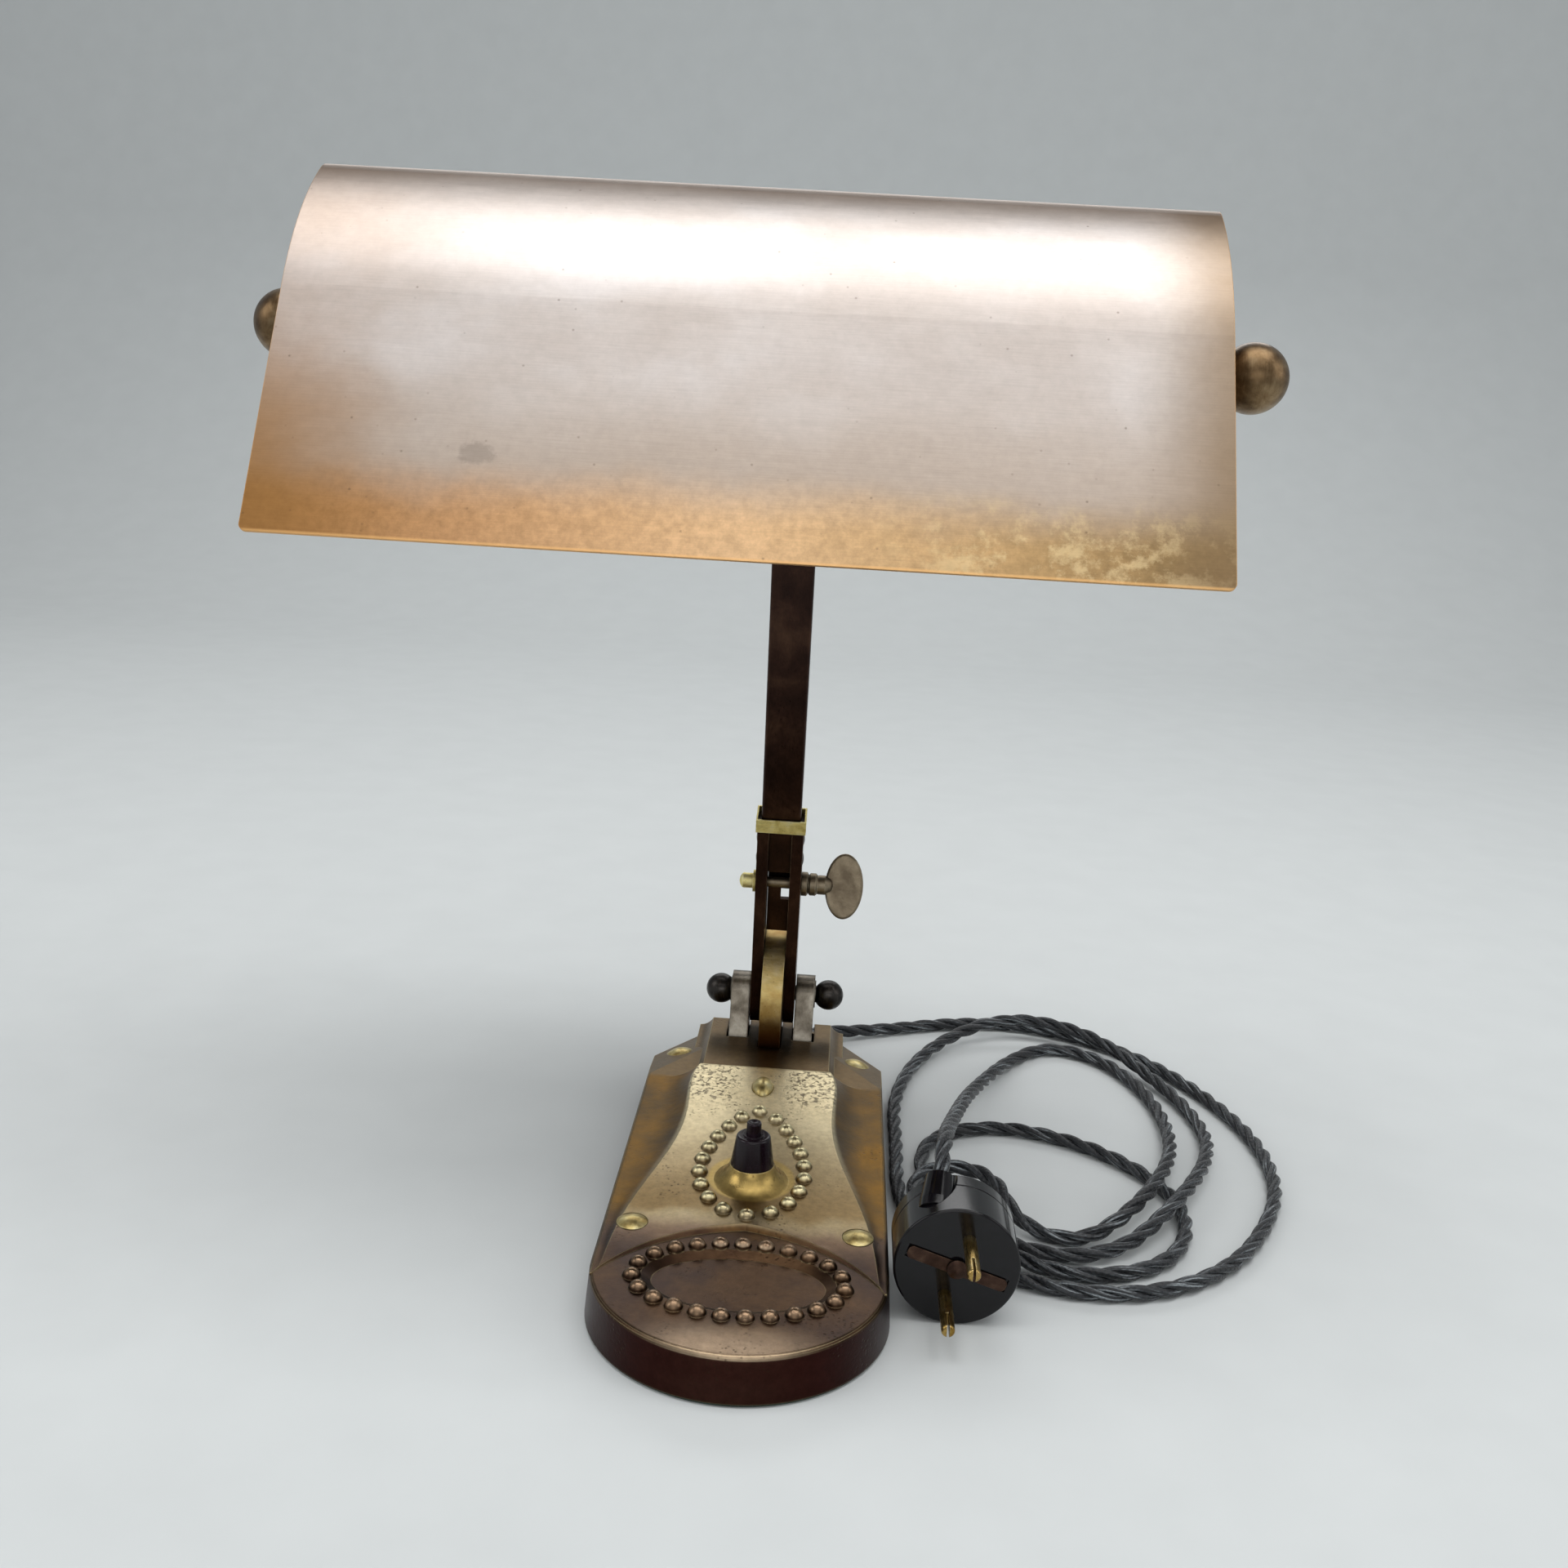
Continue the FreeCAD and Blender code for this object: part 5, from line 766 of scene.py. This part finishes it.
def brushedShadeBrass():
    # low contrast throughout: what is seen first is the long soft gleam
    values = shadeBrass
    material, add, shader, place = newMaterial("brushedShadeBrass")
    axes = add("SeparateXYZ", {"Vector": place})
    rounded, bend = roundedArris(add, values["arrisRadius"], 4)
    length, width = values["grain"]
    stretch = add("Mapping", {"Scale": (1000 / length, 1000 / width, 1000 / width),
                              "Vector": place})
    stains = add("Mapping", {"Scale": values["flatten"], "Vector": place})
    flecks = add("TexVoronoi", {"Scale": 1000 / values["fleck"], "Randomness": 1,
                                "Vector": place})
    lot = add("SeparateColor", {"Color": flecks.outputs["Color"]})
    measures = {"z": axes.outputs["Z"], "bend": bend, "fleck": flecks, "lot": lot.outputs["Red"]}
    for name, scale, detail, roughness, where in (
            ("grain", 1, 3, 0.6, stretch), ("cloud", 1000 / values["cloud"], 4, 0.55, stains),
            ("blot", 1000 / values["blot"], 6, 0.7, place),
            ("tear", 1000 / values["tear"], 8, 0.7, place)):
        measures[name] = add("TexNoise", {"Scale": scale, "Detail": detail,
                                          "Roughness": roughness, "Vector": where})
    start, end = values["ends"]
    measures["along"] = add("MapRange", {"From Min": start, "From Max": end,
                                         "Value": axes.outputs["X"]})
    # the clouds make the borders of the zones wander
    wander = values["wander"]
    for name, axis in (("drift", "Z"), ("sway", "X"), ("back", "Y")):
        measures[name] = add("Math", {"operation": "MULTIPLY_ADD", 0: measures["cloud"],
                                      1: wander[name], 2: axes.outputs[axis]})
    spread = add("VectorMath", {"operation": "SUBTRACT", 0: place, 1: values["smudgeAt"]})
    spread = add("VectorMath", {"operation": "MULTIPLY", 0: spread, 1: values["flatten"]})
    spread = add("VectorMath", {"operation": "LENGTH", 0: spread}).outputs["Value"]
    measures["spread"] = add("Math", {"operation": "MULTIPLY_ADD", 0: measures["blot"],
                                      1: wander["spread"], 2: spread})
    zone = addZones(add, values, measures)

    silver = add("ValToRGB", {"stops": [(0.36, values["silverDark"]), (0.5, values["silver"]),
                                        (0.64, values["silverLight"])],
                              "Fac": measures["cloud"]})
    silver = add("Mix", {"data_type": "RGBA", "Factor": zone["downward"], "A": silver,
                         "B": values["silverLow"]})
    # the band's colour along the shade, with partly painted light falloff towards the ends
    gold = add("ValToRGB", {"stops": values["goldBand"], "Fac": measures["along"]})
    gold = add("Mix", {"data_type": "RGBA", "blend_type": "MULTIPLY", "Factor": 1, "A": gold,
                       "B": zone["mottle"]})
    colour = add("Mix", {"data_type": "RGBA", "Factor": zone["band"], "A": silver, "B": gold})
    for name, over in (("patches", "straw"), ("left", "ochre"), ("right", "olive"),
                       ("behind", "crest"), ("smudge", "smudge")):
        colour = add("Mix", {"data_type": "RGBA", "Factor": zone[name], "A": colour,
                             "B": values[over]})
    streaks = add("Math", {"operation": "MULTIPLY", 0: zone["streaks"], 1: zone["stipple"]})
    colour = add("Mix", {"data_type": "RGBA", "blend_type": "MULTIPLY", "Factor": 1,
                         "A": colour, "B": streaks})
    # rubbed edges, and the painted highlight along the lower edges
    for name, over in (("specks", "speck"), ("rubbed", "edge")):
        colour = add("Mix", {"data_type": "RGBA", "Factor": zone[name], "A": colour,
                             "B": values[over]})
    bump = add("Bump", {"Strength": 1, "Distance": values["depth"] / 1000,
                        "Height": measures["grain"], "Normal": rounded})
    setNode(shader, {"Metallic": 1, "Base Color": colour, "Roughness": zone["rough"],
                     "Normal": bump})
    return material


dress(["shade_sheet", "end_plate_left", "end_plate_right"], brushedShadeBrass())

# Moulded bakelite: glossy and very dark, with a faint mottle and fine rubs

bakelites = [
    {"name": "blackPlugBakelite", "nodes": ["plug_body", "plug_cap", "plug_spout", "cord_bush"],
     "colour": "0b0a0c", "mottle": "121014", "roughness": (0.08, 0.18)},
    {"name": "brownSwitchBakelite", "nodes": ["switch_collar", "switch_body", "switch_plunger"],
     "colour": "140a11", "mottle": "1f121b", "roughness": (0.16, 0.28)},
]
bakeliteSkin = {
    "mottle": 3.5,            # size of the mottling, mm
    "rub": 0.5,               # width of a rub, mm
    "arrisRadius": 0.0003,
    "depth": 0.008,           # how far the mottling stands out, mm
    "specular": 0.32,         # below the usual 0.5, for a skin that has weathered
}


def mouldedBakelite(values):
    skin = bakeliteSkin
    material, add, shader, place = newMaterial(values["name"])
    mottle = add("TexNoise", {"Scale": 1000 / skin["mottle"], "Detail": 4, "Distortion": 0.8,
                              "Vector": place})
    colour = add("ValToRGB", {"stops": [(0.42, values["colour"]), (0.7, values["mottle"])],
                              "Fac": mottle})
    rubs = add("TexNoise", {"Scale": 1000 / skin["rub"], "Detail": 4, "Roughness": 0.7,
                            "Vector": place})
    least, most = values["roughness"]
    rough = add("MapRange", {"From Min": 0.35, "From Max": 0.65, "To Min": least,
                             "To Max": most, "Value": rubs})
    rounded = add("Bevel", {"samples": 4, "Radius": skin["arrisRadius"]})
    bump = add("Bump", {"Strength": 1, "Distance": skin["depth"] / 1000, "Height": mottle,
                        "Normal": rounded})
    setNode(shader, {"IOR": 1.5, "Specular IOR Level": skin["specular"], "Base Color": colour,
                     "Roughness": rough, "Normal": bump})
    return material


for values in bakelites:
    dress(values["nodes"], mouldedBakelite(values))

felt = {
    "colours": [(0.35, "1c2b20"), (0.55, "2c4231"), (0.72, "435a46")],
    "fibre": 0.6,             # mm
    "depth": 0.3,
}


def pressedFelt():
    # wool felt: matt, with short crossed fibres
    material, add, shader, place = newMaterial("pressedWoolFelt")
    fibres = add("TexNoise", {"Scale": 1000 / felt["fibre"], "Detail": 6, "Roughness": 0.75,
                              "Distortion": 2.0, "Vector": place})
    colour = add("ValToRGB", {"stops": felt["colours"], "Fac": fibres})
    bump = add("Bump", {"Strength": 1, "Distance": felt["depth"] / 1000, "Height": fibres})
    setNode(shader, {"Roughness": 0.95, "Sheen Weight": 0.4, "Sheen Roughness": 0.5,
                     "Base Color": colour, "Normal": bump})
    return material


dress(["base_felt"], pressedFelt())

opal = {
    "colours": [(0.35, "e4e0d4"), (0.65, "f2efe6")],
    "streak": 14,             # size of the streaks, mm
    "roughness": (0.12, 0.22),
    "clear": 0.25,            # share of the light that passes through
}


def opalGlass():
    # blown opal bulb: milky, glossy outside, faintly streaked
    material, add, shader, place = newMaterial("blownOpalGlass")
    milk = add("TexNoise", {"Scale": 1000 / opal["streak"], "Detail": 3, "Vector": place})
    colour = add("ValToRGB", {"stops": opal["colours"], "Fac": milk})
    least, most = opal["roughness"]
    rough = add("MapRange", {"From Min": 0.3, "From Max": 0.7, "To Min": least, "To Max": most,
                             "Value": milk})
    setNode(shader, {"IOR": 1.5, "Transmission Weight": opal["clear"], "Base Color": colour,
                     "Roughness": rough})
    return material


dress(["bulb_glass"], opalGlass())

# Braid of the cord

braid = {
    "thread": "0e1013",       # slate black rayon over the strands
    "threadMid": "24282d",
    "threadLight": "98a0a4",  # where a bundle of threads catches the light
    "bundle": 0.8,            # width of a bundle of threads, mm
    "run": 14.0,              # how far a bundle stays on top, mm
    "threadWidth": 0.5,       # of the braid's lattice, mm; the real one is half as wide
    "depth": 0.2,             # mm
    "lattice": 0.25,          # height of the lattice as a share of a bundle's
}


def braidedRayon():
    # silky threads that mostly run along the strand, over a faint crosswise lattice with painted
    # shade in its valleys
    values = braid
    material, add, shader = newMaterial("braidedCordRayon")[:3]
    weave = add("UVMap", {"uv_map": "weave"})
    parts = add("SeparateXYZ", {"Vector": weave})
    unit = cordShape["weaveUnit"] * 1000
    thickness = cordShape["strand"] * 1000
    # the way round the strand as a point on a circle, so that no seam shows
    turn = add("Math", {"operation": "MULTIPLY", 0: parts.outputs["Y"], 1: 2 * math.pi})
    circle = []
    for step in ("COSINE", "SINE"):
        side = add("Math", {"operation": step, 0: turn})
        circle.append(add("Math", {"operation": "MULTIPLY", 0: side,
                                   1: thickness / 2 / values["bundle"]}))
    onward = add("Math", {"operation": "MULTIPLY", 0: parts.outputs["X"],
                          1: unit / values["run"]})
    point = add("CombineXYZ", {"X": onward, "Y": circle[0], "Z": circle[1]})
    bundles = add("TexNoise", {"Scale": 1.0, "Detail": 5, "Roughness": 0.62, "Vector": point})
    colour = add("ValToRGB", {"stops": [(0.40, values["thread"]), (0.56, values["threadMid"]),
                                        (0.68, values["threadLight"])], "Fac": bundles})
    around = round(thickness * math.pi / values["threadWidth"] / 4)
    waves = []
    for sign in (1, -1):
        lean = add("Mapping", {"Scale": (unit / values["threadWidth"] / 4, sign * around, 1),
                               "Vector": weave})
        axes = add("SeparateXYZ", {"Vector": lean})
        along = add("Math", {"operation": "ADD", 0: axes.outputs["X"], 1: axes.outputs["Y"]})
        wave = add("Math", {"operation": "MULTIPLY", 0: along, 1: 2 * math.pi})
        waves.append(add("Math", {"operation": "SINE", 0: wave}))
    crown = add("Math", {"operation": "MAXIMUM", 0: waves[0], 1: waves[1]})
    # painted shade in the lattice's valleys between the threads
    valleys = add("MapRange", {"From Min": 0.2, "From Max": 0.9, "To Min": 0.72, "To Max": 1,
                               "Value": crown})
    colour = add("Mix", {"data_type": "RGBA", "blend_type": "MULTIPLY", "Factor": 1,
                         "A": colour, "B": valleys})
    relief = add("Math", {"operation": "MULTIPLY_ADD", 0: crown, 1: values["lattice"],
                          2: bundles})
    bump = add("Bump", {"Strength": 1, "Distance": values["depth"] / 1000, "Height": relief})
    setNode(shader, {"Roughness": 0.42, "Sheen Weight": 0.15, "Sheen Roughness": 0.4,
                     "Base Color": colour, "Normal": bump})
    return material


cordRayon = braidedRayon()
wear(cordPiece, cordRayon)
dress(["cord"], cordRayon)
print("finishes made")

# Studio

studio = {
    "floor": "d2d6d6",
    "floorGrain": "cfd3d3",
    "grainSize": 30,          # mm
    "floorSize": 7.0,
    "wallAt": 1.9,            # metres behind the lamp
    "wallHeight": 1.5,
    "wallBend": 0.8,          # radius of the curve between floor and wall
    "bendSteps": 24,
    # a long soft strip over the lamp, a broad screen above the viewer, and lower ones all round
    "overhead": {"place": (0.15, -0.02, 1.3), "size": (1.5, 0.66), "power": 9.6,
                 "aim": (0.15, -0.03, 0)},
    "screen": {"place": (0.1, -0.95, 1.5), "size": (1.9, 0.9), "power": 4.6},
    "rear": {"place": (0, 1.45, 1.05), "size": (1.5, 0.45), "power": 5.0},
    "front": {"place": (0.05, -1.7, 0.6), "size": (1.3, 0.5), "power": 3.0},
    "left": {"place": (-1.35, -0.35, 0.95), "size": (0.7, 0.9), "power": 4.0},
    "right": {"place": (1.35, -0.2, 0.8), "size": (0.6, 0.8), "power": 2.4},
    "aim": (0, 0, 0.12),      # where a softbox points that has no aim of its own
    "room": "f4f6f8",
    "horizon": 0.5,           # strength of the room's light, level and overhead
    "zenith": 0.3,
}


def addSweep():
    # one pale sheet: floor, and a wall behind that rises out of it in a curve
    clearSelection()
    size = studio["floorSize"]
    wallAt = studio["wallAt"]
    bpy.ops.mesh.primitive_plane_add(size=size, location=(0, wallAt - size / 2, 0))
    item = nameLast("studioSweep")
    settle(item)
    selectEdges(item, lambda edge: all(vertex.co.y > wallAt - 0.01 for vertex in edge.verts))
    bpy.ops.mesh.extrude_region_move(
        TRANSFORM_OT_translate={"value": (0, 0, studio["wallHeight"])})
    leaveEdit()
    selectEdges(item, lambda edge: all(vertex.co.y > wallAt - 0.01 and vertex.co.z < 0.01
                                       for vertex in edge.verts))
    bpy.ops.mesh.bevel(offset=studio["wallBend"], segments=studio["bendSteps"])
    leaveEdit()
    return smooth(item, 30)


def paintedSweep():
    # matt painted board, with a grain too fine to see from here
    material, add, shader, place = newMaterial("mattPaintedBoard")
    grain = add("TexNoise", {"Scale": 1000 / studio["grainSize"], "Detail": 3, "Vector": place})
    colour = add("ValToRGB", {"stops": [(0.3, studio["floorGrain"]), (0.7, studio["floor"])],
                              "Fac": grain})
    setNode(shader, {"Roughness": 0.7, "Base Color": colour})
    return material


def addSoftbox(name, values):
    data = bpy.data.lights.new(name, "AREA")
    data.shape = "RECTANGLE"
    data.size, data.size_y = values["size"]
    data.energy = values["power"]
    item = bpy.data.objects.new(name, data)
    item.location = values["place"]
    towards = Vector(values.get("aim", studio["aim"])) - Vector(values["place"])
    item.rotation_euler = towards.to_track_quat("-Z", "Y").to_euler()
    scene.collection.objects.link(item)


def addRoomLight():
    # a plain pale room, a little darker overhead
    world = bpy.data.worlds.new("paleRoom")
    scene.world = world
    world.use_nodes = True
    world.node_tree.nodes.clear()
    add = partial(addNode, world.node_tree)
    way = add("TexCoord").outputs["Generated"]
    height = add("SeparateXYZ", {"Vector": way}).outputs["Z"]
    strength = add("MapRange", {"From Min": 0.1, "From Max": 0.9, "To Min": studio["horizon"],
                                "To Max": studio["zenith"], "Value": height})
    room = add("Background", {"Color": studio["room"], "Strength": strength})
    add("OutputWorld", {"Surface": room})


sweep = addSweep()
wear(sweep, paintedSweep())
for name in ("overhead", "screen", "rear", "front", "left", "right"):
    addSoftbox(name + "Softbox", studio[name])
addRoomLight()
scene.view_settings.view_transform = "Standard"
print("studio ready")
